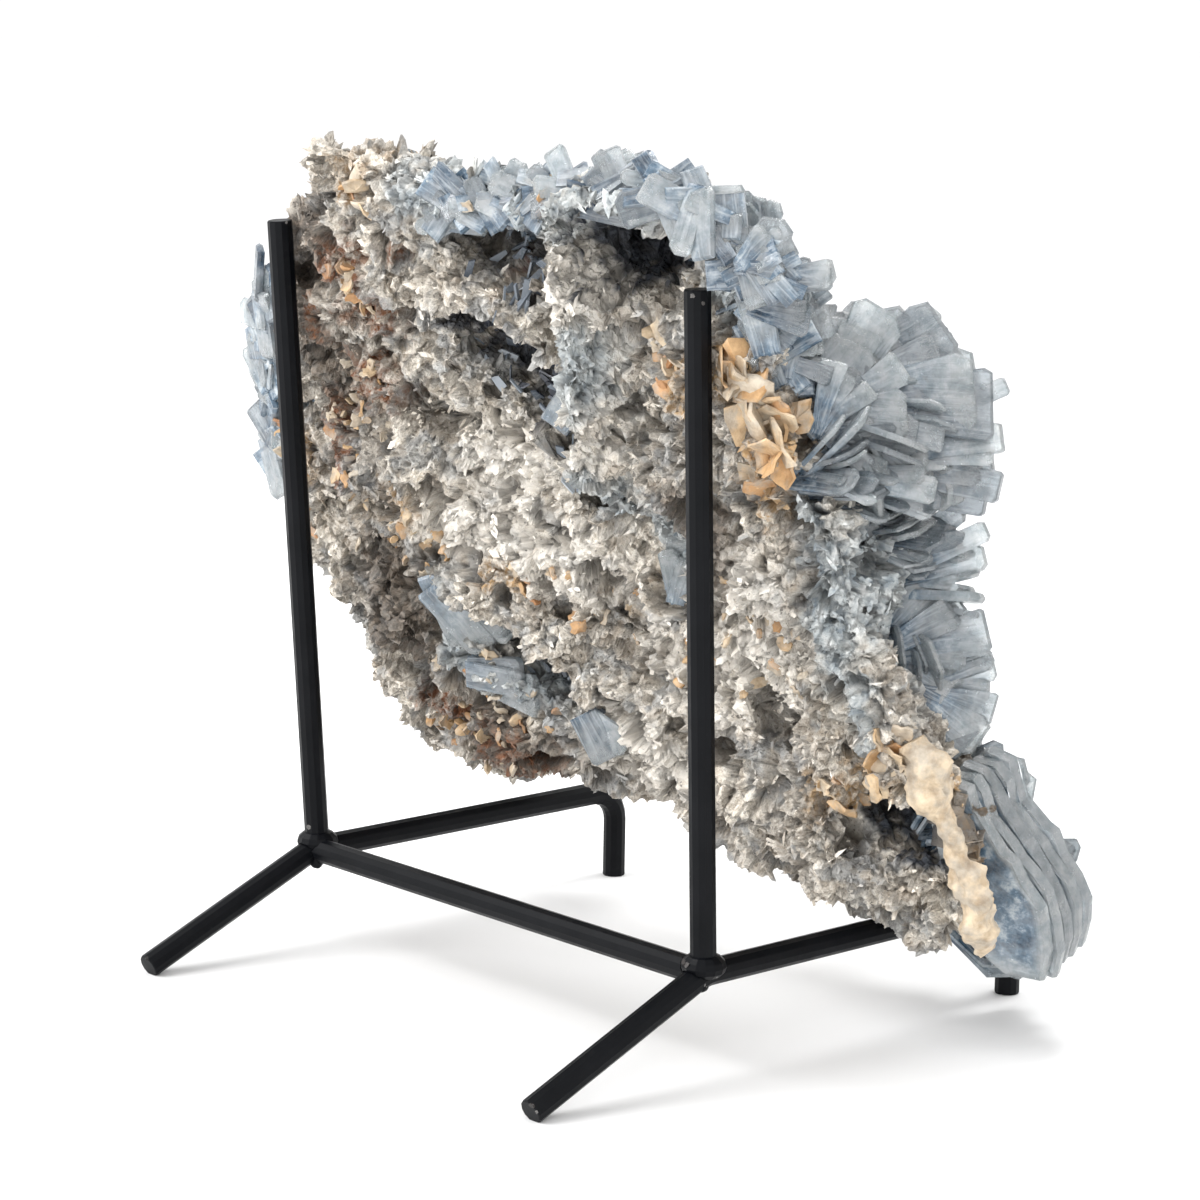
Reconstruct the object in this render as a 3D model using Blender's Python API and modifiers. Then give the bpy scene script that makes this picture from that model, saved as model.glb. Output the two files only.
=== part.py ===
"""A blue barite specimen leaning on a display stand of welded steel rod.

Metres, +Z up, +X across the stand, -Y on the side of the two uprights, where the rough back of the
stone shows. The stone is one solid: a tilted slab of crust with hollows, ribs and lumps, and the
tabular crystals that grew on its rim and on its front. The origin is at the bottom centre of the whole.
"""

import math
import random

import bmesh
import bpy
from mathutils import Matrix, Vector, noise

MM = 0.001

# The stand: two bent rods that each make a rear leg, an arm and a front leg, two uprights and a cross rod.
ROD_RADIUS = 3.0 * MM
ROD_SPACING = 140.0 * MM
BEND_HEIGHT = 23.4 * MM
REAR_REACH = 50.0 * MM
FRONT_REACH = 101.0 * MM
FOOT_FLAT = 0.6 * MM
REAR_BEND_RADIUS = 9.0 * MM
FRONT_BEND_RADIUS = 8.0 * MM
REAR_BEND_STEPS = 3
FRONT_BEND_STEPS = 6
END_ROUNDING = 0.8 * MM
BEAD_RADIUS = 5.2 * MM
BEAD_FLATTENING = 0.62
BEAD_RISE = 1.8 * MM
CLEARANCE = 0.3 * MM
BEAD_CLEARANCE = 0.5 * MM

# The two uprights, welded on by hand and unlike: side, name, y of the foot and of the top, height,
# rounding of the top.
UPRIGHTS = (
    (-1, "left", 1.2 * MM, -10.7 * MM, 179.3 * MM, 1.0 * MM),
    (1, "right", 0.0 * MM, -6.3 * MM, 174.4 * MM, 2.2 * MM),
)

# The stone's own frame: x across, v up along the slab, m from its back to its front.
STONE_TILT = math.radians(20.0)
STONE_FOOT = Vector((-2.5, 46.9, 26.5)) * MM
STONE_MIDDLE = (2.0, 88.0)

# The slab's rim, clockwise from the upper left: x and v at the back, x and v at the front, thickness.
RIM = (
    (-67, 162, -56, 146, 30),
    (-57, 177, -48, 157, 31),
    (-34, 184, -31, 162, 33),
    (-14, 170, -13, 152, 35),
    (4, 177, 2, 154, 38),
    (24, 179, 18, 154, 41),
    (42, 183, 33, 158, 43),
    (62, 184, 46, 152, 44),
    (81, 183, 56, 144, 44),
    (91, 173, 62, 136, 44),
    (92, 152, 70, 126, 44),
    (88, 135, 78, 118, 45),
    (94, 118, 80, 108, 46),
    (97, 98, 77, 94, 46),
    (96, 78, 74, 78, 46),
    (101, 58, 76, 58, 46),
    (111, 46, 80, 42, 46),
    (113, 25, 82, 25, 45),
    (111, 4, 84, 2, 44),
    (98, 1, 82, -14, 46),
    (84, 3, 74, -20, 48),
    (66, -2, 60, -20, 50),
    (45, 0, 40, -15, 50),
    (25, 13, 20, -9, 50),
    (4, 21, -10, -6, 50),
    (-27, 15, -36, -9, 51),
    (-53, 9, -58, -19, 52),
    (-72, 11, -76, -31, 50),
    (-87, 20, -87, -14, 50),
    (-92, 40, -91, 22, 46),
    (-97, 56, -96, 46, 44),
    (-99, 74, -99, 68, 42),
    (-104, 92, -101, 88, 40),
    (-102, 111, -99, 106, 38),
    (-97, 127, -91, 122, 35),
    (-84, 144, -75, 136, 32),
)
# The rings of the coarse form: share of the thickness, and size about the stone's middle.
RINGS = ((0.0, 0.55), (0.0, 0.97), (0.11, 1.045), (0.5, 1.03), (0.86, 0.98), (1.0, 0.8), (1.08, 0.4))

# Hollows of the back face: x, v, half width, half height, turn in degrees, depth.
HOLLOWS = (
    (8, 161, 19, 11, -8, 15),
    (53, 162, 10, 13, 10, 27),
    (4, 127, 21, 13, -22, 20),
    (18, 112, 7, 11, 0, 10),
    (-19, 54, 22, 8, -38, 13),
    (95, 28, 15, 6, 0, 20),
    (94, 172, 5, 4, 0, 9),
    (93, 131, 6, 7, 0, 9),
    (-4, 66, 5, 4, 0, 6),
    (60, 95, 10, 16, 10, 4),
    (-60, 62, 12, 9, -30, 4),
    (36, 62, 9, 6, -30, 4),
    (-74, 118, 8, 12, 10, 4),
)
# Ribs and lips of the back face: half width, height, and the x and v points that each follows.
RIBS = (
    (6, 6, ((40, 178), (35, 156), (31, 131), (25, 108))),
    (5, 5, ((44, 176), (60, 178), (74, 170))),
    (6, 3, ((-14, 148), (8, 146), (24, 150))),
    (7, 4, ((-52, 70), (-30, 66), (-8, 52), (10, 36))),
    (6, 4, ((112, 56), (113, 38), (112, 12))),
    (8, 4, ((74, 140), (84, 126), (82, 110))),
    (8, 3, ((-54, 162), (-56, 140), (-54, 118))),
)
# Lumps of the surface: size of a lump and how far it stands out.
LUMPS = ((34.0, 3.2), (13.0, 2.2), (6.0, 0.9))
LUMP_PLACE = Vector((0.0, 40.0, 0.0))
# The relief fades on faces that turn away from the back, and reaches this deep. The flat where the
# stone leans on an upright is wider than the rod by the margin. Millimetres.
RELIEF_EDGE = 1.6
RELIEF_REACH = 12.0
UPRIGHT_MARGIN = 1.0
# The hollows' and ribs' edges wander: size of the wave in millimetres, share of the half width, place.
EDGE_WAVE = 7.0
EDGE_WANDER = 0.35
EDGE_PLACE = 3.0
HOLLOW_STEEPNESS = 0.6
# Grids on which the slab is worked and on which slab and crystals grow together.
SLAB_VOXEL = 2.2 * MM
STONE_VOXEL = 1.0 * MM
STONE_TRIANGLES = 7900

# Fans of tabular crystals. Each: root in x, v, m; middle direction; the axis that the fan opens about;
# opening in degrees; number of tablets; length, width and thickness of a tablet.
FANS = (
    # Upper right: the great pale fan, two tiers, and the square-ended prisms under it.
    ((78, 118, 20), (1.0, -0.02, 0.6), (0.2, -0.75, 0.9), 92, 9, 32, 15, 3.4),
    ((76, 116, 30), (1.0, 0.05, 0.55), (0.1, -0.6, 0.9), 100, 8, 29, 12, 3.6),
    ((82, 112, 8), (1.0, 0.1, 0.25), (0.3, 0.2, 1.0), 70, 5, 24, 9, 3.0),
    ((82, 104, 28), (1.0, -0.1, 0.35), (0.0, 1.0, 0.3), 40, 3, 27, 7, 6.0),
    # Right flank, downward.
    ((78, 92, 22), (1.0, 0.0, 0.35), (0.0, 0.3, 1.0), 70, 6, 23, 11, 3.2),
    ((78, 76, 24), (1.0, 0.4, 0.35), (0.4, -0.2, 1.0), 50, 4, 27, 9, 4.6),
    ((78, 58, 24), (1.0, 0.1, 0.45), (0.1, 0.9, 0.4), 110, 7, 21, 14, 3.0),
    ((80, 44, 26), (1.0, 0.1, 0.35), (0.0, 0.4, 1.0), 80, 5, 18, 10, 3.4),
    # Lower right: the lobe of stacked blades that hangs past the stand's arm.
    ((84, 20, 20), (0.8, 0.3, 0.42), (0.85, 0.1, -0.5), 60, 6, 23, 20, 3.4),
    ((82, 2, 26), (0.95, -0.35, 0.3), (0.25, 0.1, 1.0), 62, 7, 30, 19, 3.6),
    ((80, -8, 32), (0.6, -0.85, 0.1), (0.5, 0.1, 0.9), 58, 7, 23, 17, 3.4),
    # Top edge.
    ((72, 150, 12), (0.75, 0.65, 0.3), (0.2, -0.3, 1.0), 90, 7, 20, 10, 3.0),
    ((76, 136, 18), (1.0, 0.35, 0.35), (0.3, 0.6, 0.5), 60, 4, 18, 9, 3.0),
    ((56, 152, 26), (0.2, 1.0, -0.35), (1.0, -0.1, 0.3), 80, 5, 16, 14, 3.0),
    ((30, 158, 24), (0.0, 1.0, -0.2), (0.9, 0.0, 0.6), 80, 5, 16, 14, 3.0),
    ((2, 156, 22), (-0.15, 1.0, -0.2), (0.8, 0.1, 0.7), 80, 5, 15, 14, 3.0),
    ((-34, 156, 12), (-0.2, 1.0, 0.1), (0.9, 0.2, 0.3), 70, 4, 20, 10, 3.0),
    # Left edge.
    ((-86, 112, 12), (-1.0, 0.12, -0.15), (0.1, 0.3, 1.0), 90, 5, 21, 10, 3.0),
    ((-90, 92, 12), (-1.0, -0.1, 0.0), (0.1, 1.0, 0.3), 80, 5, 23, 11, 3.0),
    ((-78, 50, 18), (-1.0, -0.35, 0.2), (0.2, 0.3, 1.0), 80, 4, 22, 10, 3.0),
    # Front.
    ((-58, 128, 20), (-0.2, 0.2, 1.0), (0.7, 0.7, 0.1), 100, 5, 24, 16, 3.4),
    ((-20, 138, 24), (0.1, 0.3, 1.0), (0.8, -0.6, 0.2), 110, 6, 26, 17, 3.4),
    ((24, 134, 30), (0.0, 0.25, 1.0), (0.2, 1.0, 0.0), 110, 6, 25, 18, 3.6),
    ((58, 112, 34), (0.35, 0.1, 1.0), (1.0, 0.2, 0.3), 100, 6, 25, 17, 3.4),
    ((-74, 86, 26), (-0.35, 0.0, 1.0), (0.4, 0.9, 0.1), 110, 6, 25, 16, 3.4),
    ((-36, 92, 32), (-0.1, 0.1, 1.0), (1.0, 0.4, 0.0), 120, 7, 27, 19, 3.8),
    ((8, 86, 36), (0.05, 0.0, 1.0), (0.6, 1.0, 0.0), 110, 7, 26, 18, 3.6),
    ((54, 66, 38), (0.3, 0.0, 1.0), (0.9, 0.5, 0.2), 110, 6, 24, 17, 3.6),
    ((-58, 40, 36), (-0.3, -0.15, 1.0), (0.9, -0.5, 0.1), 110, 6, 25, 17, 3.6),
    ((-14, 38, 40), (0.0, -0.15, 1.0), (0.3, 1.0, 0.1), 110, 6, 24, 18, 3.6),
    ((34, 26, 40), (0.15, -0.2, 1.0), (1.0, -0.3, 0.1), 100, 6, 24, 17, 3.6),
)
TIP_CHAMFER = 0.3
CHANCE_SEED = 11
# How far tablets differ within a fan: degrees, shares of their size, and millimetres along the root.
ANGLE_SPREAD = 4.0
TILT_SPREAD = 14.0
TURN_SPREAD = 21.0
LENGTH_SPREAD = 0.18
WIDTH_SPREAD = 0.3
ROOT_SPREAD = 2.5

PAINT = {"color": (0.012, 0.013, 0.015, 1.0), "roughness": 0.45, "metallic": 0.0}
STONE = {"color": (0.50, 0.52, 0.54, 1.0), "roughness": 0.55, "metallic": 0.0}


def clear_scene():
    for obj in list(bpy.data.objects):
        bpy.data.objects.remove(obj, do_unlink=True)


def new_collection(name):
    collection = bpy.data.collections.new(name)
    bpy.context.scene.collection.children.link(collection)
    return collection


def material(name, look):
    mat = bpy.data.materials.new(name)
    mat.use_nodes = True
    shader = mat.node_tree.nodes["Principled BSDF"]
    shader.inputs["Base Color"].default_value = look["color"]
    shader.inputs["Roughness"].default_value = look["roughness"]
    shader.inputs["Metallic"].default_value = look["metallic"]
    mat.diffuse_color = look["color"]
    return mat


def mesh_object(name, bm, collection):
    mesh = bpy.data.meshes.new(name)
    bm.to_mesh(mesh)
    bm.free()
    obj = bpy.data.objects.new(name, mesh)
    collection.objects.link(obj)
    return obj


def applied(obj):
    """Replace the object's mesh by its evaluated one and drop the modifiers."""
    graph = bpy.context.evaluated_depsgraph_get()
    graph.update()
    mesh = bpy.data.meshes.new_from_object(obj.evaluated_get(graph))
    obj.modifiers.clear()
    obj.data = mesh
    return obj


def boolean(obj, other, operation):
    modifier = obj.modifiers.new(operation.lower(), "BOOLEAN")
    modifier.operation = operation
    modifier.solver = "EXACT"
    modifier.object = other
    return applied(obj)


def turned_corner(before, corner, after, radius, steps):
    """Points of the arc that rounds the corner between two straight runs."""
    into = (corner - before).normalized()
    out = (after - corner).normalized()
    turn = into.angle(out)
    reach = radius * math.tan(turn / 2)
    start = corner - into * reach
    inward = (out - into * into.dot(out)).normalized()
    points = []
    for step in range(steps + 1):
        angle = turn * step / steps
        points.append(start + into * radius * math.sin(angle) + inward * radius * (1 - math.cos(angle)))
    return points


def rod(name, route, radius, collection):
    """A round rod along the route, as a closed mesh."""
    curve = bpy.data.curves.new(name + "_route", "CURVE")
    curve.dimensions = "3D"
    curve.bevel_depth = radius
    curve.bevel_resolution = 4
    curve.use_fill_caps = True
    spline = curve.splines.new("POLY")
    spline.points.add(len(route) - 1)
    for point, place in zip(spline.points, route):
        point.co = (*place, 1.0)
    guide = bpy.data.objects.new(name + "_route", curve)
    collection.objects.link(guide)
    graph = bpy.context.evaluated_depsgraph_get()
    graph.update()
    mesh = bpy.data.meshes.new_from_object(guide.evaluated_get(graph))
    bpy.data.objects.remove(guide, do_unlink=True)
    bm = bmesh.new()
    bm.from_mesh(mesh)
    bmesh.ops.remove_doubles(bm, verts=bm.verts, dist=0.00002)
    bmesh.ops.recalc_face_normals(bm, faces=bm.faces)
    return mesh_object(name, bm, collection)


def round_ends(obj, rounding):
    bevel = obj.modifiers.new("rounded ends", "BEVEL")
    bevel.width = rounding
    bevel.segments = 2
    bevel.limit_method = "ANGLE"
    bevel.angle_limit = math.radians(60)
    return applied(obj)


def base_route(side):
    """Rear foot, bend, arm, bend and front foot of one base rod."""
    x = side * ROD_SPACING / 2
    slope = math.atan2(BEND_HEIGHT, REAR_REACH)
    foot_height = ROD_RADIUS * math.cos(slope) - FOOT_FLAT
    rear_foot = Vector((x, -REAR_REACH, foot_height))
    bend = Vector((x, 0.0, BEND_HEIGHT))
    shoulder = Vector((x, FRONT_REACH, BEND_HEIGHT))
    front_foot = Vector((x, FRONT_REACH, 0.0))
    route = [rear_foot]
    route += turned_corner(rear_foot, bend, shoulder, REAR_BEND_RADIUS, REAR_BEND_STEPS)
    route += turned_corner(bend, shoulder, front_foot, FRONT_BEND_RADIUS, FRONT_BEND_STEPS)
    route.append(front_foot)
    return route


def upright_route(side, foot_y, top_y, height):
    x = side * ROD_SPACING / 2
    return [Vector((x, foot_y, BEND_HEIGHT)), Vector((x, top_y, height))]


def cross_route():
    half = ROD_SPACING / 2
    return [Vector((-half, 0.0, BEND_HEIGHT)), Vector((half, 0.0, BEND_HEIGHT))]


def bead(name, centre, radius, collection):
    """A weld bead: a flattened ball about a joint of the stand."""
    bm = bmesh.new()
    place = Matrix.Translation(centre) @ Matrix.Diagonal((1.0, 1.0, BEAD_FLATTENING, 1.0))
    bmesh.ops.create_uvsphere(bm, u_segments=14, v_segments=8, radius=radius, matrix=place)
    return mesh_object(name, bm, collection)


def floor_cutter(collection):
    bm = bmesh.new()
    depth = 10.0 * MM
    place = Matrix.Translation((0.0, 0.0, -depth / 2)) @ Matrix.Diagonal((0.4, 0.4, depth, 1.0))
    bmesh.ops.create_cube(bm, size=1.0, matrix=place)
    return mesh_object("floor_cutter", bm, collection)


def build_stand(parts, cutters):
    """The five rods, with a bead at each foot of an upright, all a clearance apart."""
    floor = floor_cutter(cutters)
    rods = []
    swollen = ROD_RADIUS + CLEARANCE
    base_cutters = []
    for side, word in ((-1, "left"), (1, "right")):
        base = round_ends(rod("base_rod_" + word, base_route(side), ROD_RADIUS, parts), END_ROUNDING)
        boolean(base, floor, "DIFFERENCE")
        rods.append(base)
        base_cutters.append(rod("base_cutter_" + word, base_route(side), swollen, cutters))
    bead_cutters = []
    upright_cutters = []
    for (side, word, foot_y, top_y, height, rounding), cutter in zip(UPRIGHTS, base_cutters):
        route = upright_route(side, foot_y, top_y, height)
        upright = round_ends(rod("upright_" + word, route, ROD_RADIUS, parts), rounding)
        centre = Vector((side * ROD_SPACING / 2, foot_y, BEND_HEIGHT + BEAD_RISE))
        boolean(upright, bead("bead_" + word, centre, BEAD_RADIUS, cutters), "UNION")
        boolean(upright, cutter, "DIFFERENCE")
        rods.append(upright)
        bead_cutters.append(bead("bead_cutter_" + word, centre, BEAD_RADIUS + BEAD_CLEARANCE, cutters))
        upright_cutters.append(rod("upright_cutter_" + word, route, swollen, cutters))
    cross = rod("cross_rod", cross_route(), ROD_RADIUS, parts)
    for cutter in base_cutters + bead_cutters:
        boolean(cross, cutter, "DIFFERENCE")
    rods.append(cross)
    return rods, base_cutters + upright_cutters


def slab_cage():
    """A coarse closed form lofted through rings of the rim, from the back face to the front one."""
    bm = bmesh.new()
    middle_x, middle_v = STONE_MIDDLE
    rings = []
    for share, size in RINGS:
        ring = []
        for back_x, back_v, front_x, front_v, thickness in RIM:
            x = back_x + (front_x - back_x) * share
            v = back_v + (front_v - back_v) * share
            x = middle_x + (x - middle_x) * size
            v = middle_v + (v - middle_v) * size
            ring.append(bm.verts.new(Vector((x, share * thickness, v)) * MM))
        rings.append(ring)
    for ring, following in zip(rings, rings[1:]):
        for i in range(len(ring)):
            j = (i + 1) % len(ring)
            bm.faces.new((ring[i], ring[j], following[j], following[i]))
    bm.faces.new(rings[0])
    bm.faces.new(rings[-1])
    bmesh.ops.recalc_face_normals(bm, faces=bm.faces)
    return bm


def remeshed(obj, voxel):
    modifier = obj.modifiers.new("even grid", "REMESH")
    modifier.mode = "VOXEL"
    modifier.voxel_size = voxel
    return applied(obj)


def distance_to_line(x, v, line):
    """Distance from a point of the back face to a line of straight runs."""
    here = Vector((x, v))
    nearest = math.inf
    for (x0, v0), (x1, v1) in zip(line, line[1:]):
        start = Vector((x0, v0))
        run = Vector((x1, v1)) - start
        along = max(0.0, min(1.0, (here - start).dot(run) / run.length_squared))
        nearest = min(nearest, (here - start - run * along).length)
    return nearest


def relief(x, v):
    """How far the back face goes in at a point: hollows count up, ribs count down. Millimetres."""
    wobble = noise.noise(Vector((x, v, EDGE_PLACE)) / EDGE_WAVE) * EDGE_WANDER
    depth = 0.0
    for centre_x, centre_v, half_x, half_v, turn, deep in HOLLOWS:
        cos, sin = math.cos(math.radians(turn)), math.sin(math.radians(turn))
        across = ((x - centre_x) * cos + (v - centre_v) * sin) / half_x
        along = ((v - centre_v) * cos - (x - centre_x) * sin) / half_v
        edge = math.hypot(across, along) + wobble
        if edge < 1.0:
            depth = max(depth, deep * (1.0 - edge * edge) ** HOLLOW_STEEPNESS)
    for half_width, height, line in RIBS:
        edge = distance_to_line(x, v, line) / half_width + wobble
        if edge < 1.0:
            depth -= height * (1.0 - edge * edge)
    return depth


def upright_face(x, v):
    """The depth m, in millimetres, at which the stone meets the front of the nearer upright."""
    _, _, foot_y, top_y, top_height, _ = UPRIGHTS[0 if x + STONE_FOOT.x / MM < 0.0 else 1]
    height = STONE_FOOT.z + v * MM * math.cos(STONE_TILT)
    rise = (height - BEND_HEIGHT) / (top_height - BEND_HEIGHT)
    rod_front = ROD_RADIUS + CLEARANCE + foot_y + rise * (top_y - foot_y)
    return ((rod_front - STONE_FOOT.y) / MM + v * math.sin(STONE_TILT)) / math.cos(STONE_TILT)


def roughen(obj):
    """Work the hollows and ribs into the back face, then lumps of several sizes into every side."""
    mesh = obj.data
    normals = [vertex.normal.copy() for vertex in mesh.vertices]
    for vertex, normal in zip(mesh.vertices, normals):
        x, m, v = vertex.co / MM
        facing_back = min(1.0, max(0.0, -normal.y) * RELIEF_EDGE)
        inward = relief(x, v) * facing_back if m < RELIEF_REACH else 0.0
        out = 0.0
        for size, height in LUMPS:
            out += noise.noise((Vector((x, m, v)) + LUMP_PLACE) / size) * height * 2.0
        vertex.co += (Vector((0.0, 1.0, 0.0)) * inward + normal * out) * MM
        beside = abs(abs(x + STONE_FOOT.x / MM) - ROD_SPACING / MM / 2) - ROD_RADIUS / MM
        rest = (upright_face(x, v) - max(0.0, beside - UPRIGHT_MARGIN)) * MM
        vertex.co.y = max(vertex.co.y, rest)


def add_slab(bm, collection):
    """The crust: the soft form of the coarse cage, with its hollows, ribs and lumps."""
    slab = mesh_object("slab", slab_cage(), collection)
    smoothing = slab.modifiers.new("soft form", "SUBSURF")
    smoothing.levels = 2
    smoothing.render_levels = 2
    applied(slab)
    remeshed(slab, SLAB_VOXEL)
    roughen(slab)
    bm.from_mesh(slab.data)
    bpy.data.objects.remove(slab, do_unlink=True)


def add_tablet(bm, root, growth, normal, length, width, thickness):
    """One tabular crystal: a plate from its root along its growth, with its outer corners cut off."""
    growth = growth.normalized()
    across = growth.cross(normal).normalized()
    flat = across.cross(growth)
    turn = Matrix((across, flat, growth)).transposed().to_4x4()
    size = Matrix.Diagonal((width, thickness, length, 1.0))
    place = Matrix.Translation(root) @ turn @ size @ Matrix.Translation((0.0, 0.0, 0.5))
    made = bmesh.ops.create_cube(bm, size=1.0, matrix=place)["verts"]
    tip = [vertex for vertex in made if (vertex.co - root).dot(growth) > length * 0.5]
    corners = []
    for vertex in tip:
        for edge in vertex.link_edges:
            far = edge.other_vert(vertex)
            along_flat = abs((far.co - vertex.co).normalized().dot(flat)) > 0.9
            if far in tip and along_flat and edge not in corners:
                corners.append(edge)
    bmesh.ops.bevel(bm, geom=corners, offset=width * TIP_CHAMFER, segments=1, affect="EDGES")


def slab_vector(x, v, m):
    return Vector((x, m, v))


def add_crystals(bm):
    """Every fan of tablets. The tablets overlap each other and the slab."""
    chance = random.Random(CHANCE_SEED)
    for root, middle, opening_axis, opening, count, length, width, thickness in FANS:
        axis = slab_vector(*opening_axis).normalized()
        middle = slab_vector(*middle).normalized()
        axis = (axis - middle * axis.dot(middle)).normalized()
        for i in range(count):
            share = i / (count - 1) - 0.5
            angle = math.radians(share * opening + chance.uniform(-ANGLE_SPREAD, ANGLE_SPREAD))
            growth = Matrix.Rotation(angle, 3, axis) @ middle
            tilt = math.radians(chance.uniform(-TILT_SPREAD, TILT_SPREAD))
            growth = Matrix.Rotation(tilt, 3, axis.cross(middle)) @ growth
            flat = growth.cross(axis)
            turn = math.radians(chance.uniform(-TURN_SPREAD, TURN_SPREAD))
            flat = Matrix.Rotation(turn, 3, growth) @ flat
            size = 1.0 + chance.uniform(-LENGTH_SPREAD, LENGTH_SPREAD)
            wide = 1.0 + chance.uniform(-WIDTH_SPREAD, WIDTH_SPREAD)
            start = slab_vector(*root) + axis * chance.uniform(-ROOT_SPREAD, ROOT_SPREAD)
            add_tablet(
                bm,
                start * MM,
                growth,
                flat,
                length * size * MM,
                width * wide * MM,
                thickness * MM,
            )


def keep_main_body(obj):
    """Drop chips that a cut set free and closed pockets inside: the largest connected skin stays."""
    bm = bmesh.new()
    bm.from_mesh(obj.data)
    left = set(bm.verts)
    skins = []
    while left:
        skin = set()
        front = [left.pop()]
        while front:
            vertex = front.pop()
            skin.add(vertex)
            linked = {edge.other_vert(vertex) for edge in vertex.link_edges} & left
            left -= linked
            front.extend(linked)
        skins.append(skin)
    skins.sort(key=len)
    for skin in skins[:-1]:
        bmesh.ops.delete(bm, geom=list(skin), context="VERTS")
    bm.to_mesh(obj.data)
    bm.free()


def build_stone(parts, cutters, rod_cutters):
    """Slab and crystals grown into one solid, then leant on the stand and cut clear of its rods."""
    bm = bmesh.new()
    add_slab(bm, cutters)
    add_crystals(bm)
    stone = mesh_object("barite", bm, parts)
    remeshed(stone, STONE_VOXEL)
    keep_main_body(stone)
    thinning = stone.modifiers.new("fewer faces", "DECIMATE")
    thinning.ratio = STONE_TRIANGLES / (2 * len(stone.data.polygons))
    applied(stone)
    place = Matrix.Translation(STONE_FOOT) @ Matrix.Rotation(STONE_TILT, 4, "X")
    stone.data.transform(place)
    for cutter in rod_cutters:
        boolean(stone, cutter, "DIFFERENCE")
    keep_main_body(stone)
    return stone


def centre_on_origin(objects, collection):
    """Parent the parts to an empty and move it so that the origin is at their bottom centre."""
    corners = [obj.matrix_world @ vertex.co for obj in objects for vertex in obj.data.vertices]
    low = Vector([min(corner[axis] for corner in corners) for axis in range(3)])
    high = Vector([max(corner[axis] for corner in corners) for axis in range(3)])
    holder = bpy.data.objects.new("specimen", None)
    collection.objects.link(holder)
    for obj in objects:
        obj.parent = holder
    holder.location = (-(low.x + high.x) / 2, -(low.y + high.y) / 2, -low.z)


def main():
    clear_scene()
    parts = new_collection("barite_specimen")
    cutters = new_collection("cutters")
    rods, rod_cutters = build_stand(parts, cutters)
    stone = build_stone(parts, cutters, rod_cutters)
    painted = material("black_paint", PAINT)
    for piece in rods:
        piece.data.materials.clear()
        piece.data.materials.append(painted)
        piece.data.shade_smooth()
        piece.data.set_sharp_from_angle(angle=math.radians(40))
    stone.data.materials.clear()
    stone.data.materials.append(material("barite_stone", STONE))
    for cutter in cutters.objects:
        cutter.hide_render = True
        cutter.display_type = "WIRE"
    centre_on_origin([stone, *rods], parts)


main()
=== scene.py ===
"""Looks of the barite specimen: crust, scales, crystals, stand, light and camera.

The stone is modelled in its own frame, in millimetres: x across, v up along the slab and m from its
back to its front. place_stone() leans it on the stand, whose packed rods give its place.
"""

import math
import random

import bmesh
import bpy
from mathutils import Matrix, Vector, noise
from mathutils.bvhtree import BVHTree


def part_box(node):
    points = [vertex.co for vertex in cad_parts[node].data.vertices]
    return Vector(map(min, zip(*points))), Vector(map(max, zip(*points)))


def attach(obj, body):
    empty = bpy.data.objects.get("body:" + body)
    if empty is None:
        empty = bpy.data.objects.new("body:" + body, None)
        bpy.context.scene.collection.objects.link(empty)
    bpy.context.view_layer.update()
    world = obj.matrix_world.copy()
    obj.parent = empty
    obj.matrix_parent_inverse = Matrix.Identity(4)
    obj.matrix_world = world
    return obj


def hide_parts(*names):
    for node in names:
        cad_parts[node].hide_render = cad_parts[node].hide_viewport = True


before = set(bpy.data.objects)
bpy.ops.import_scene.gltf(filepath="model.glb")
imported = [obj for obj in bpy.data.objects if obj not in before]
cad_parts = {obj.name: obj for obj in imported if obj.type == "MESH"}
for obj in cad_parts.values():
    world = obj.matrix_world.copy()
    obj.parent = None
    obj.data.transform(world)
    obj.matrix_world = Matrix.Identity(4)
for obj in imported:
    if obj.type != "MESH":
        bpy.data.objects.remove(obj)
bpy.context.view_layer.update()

MM = 0.001

# The stand's layout, from which the stone and the camera are placed.
ROD_RADIUS = 3.0
ROD_SPACING = 140.0
BEND_HEIGHT = 23.4
FRONT_REACH = 101.0
CLEARANCE = 0.3
# y of the foot, y of the top and height of the left and of the right upright.
UPRIGHTS = ((1.2, -10.7, 179.3), (0.0, -6.3, 174.4))

# The stone's own frame.
STONE_TILT = math.radians(20.0)
STONE_FOOT = Vector((-2.5, 46.9, 26.5))
STONE_MIDDLE = (2.0, 88.0)

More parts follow.
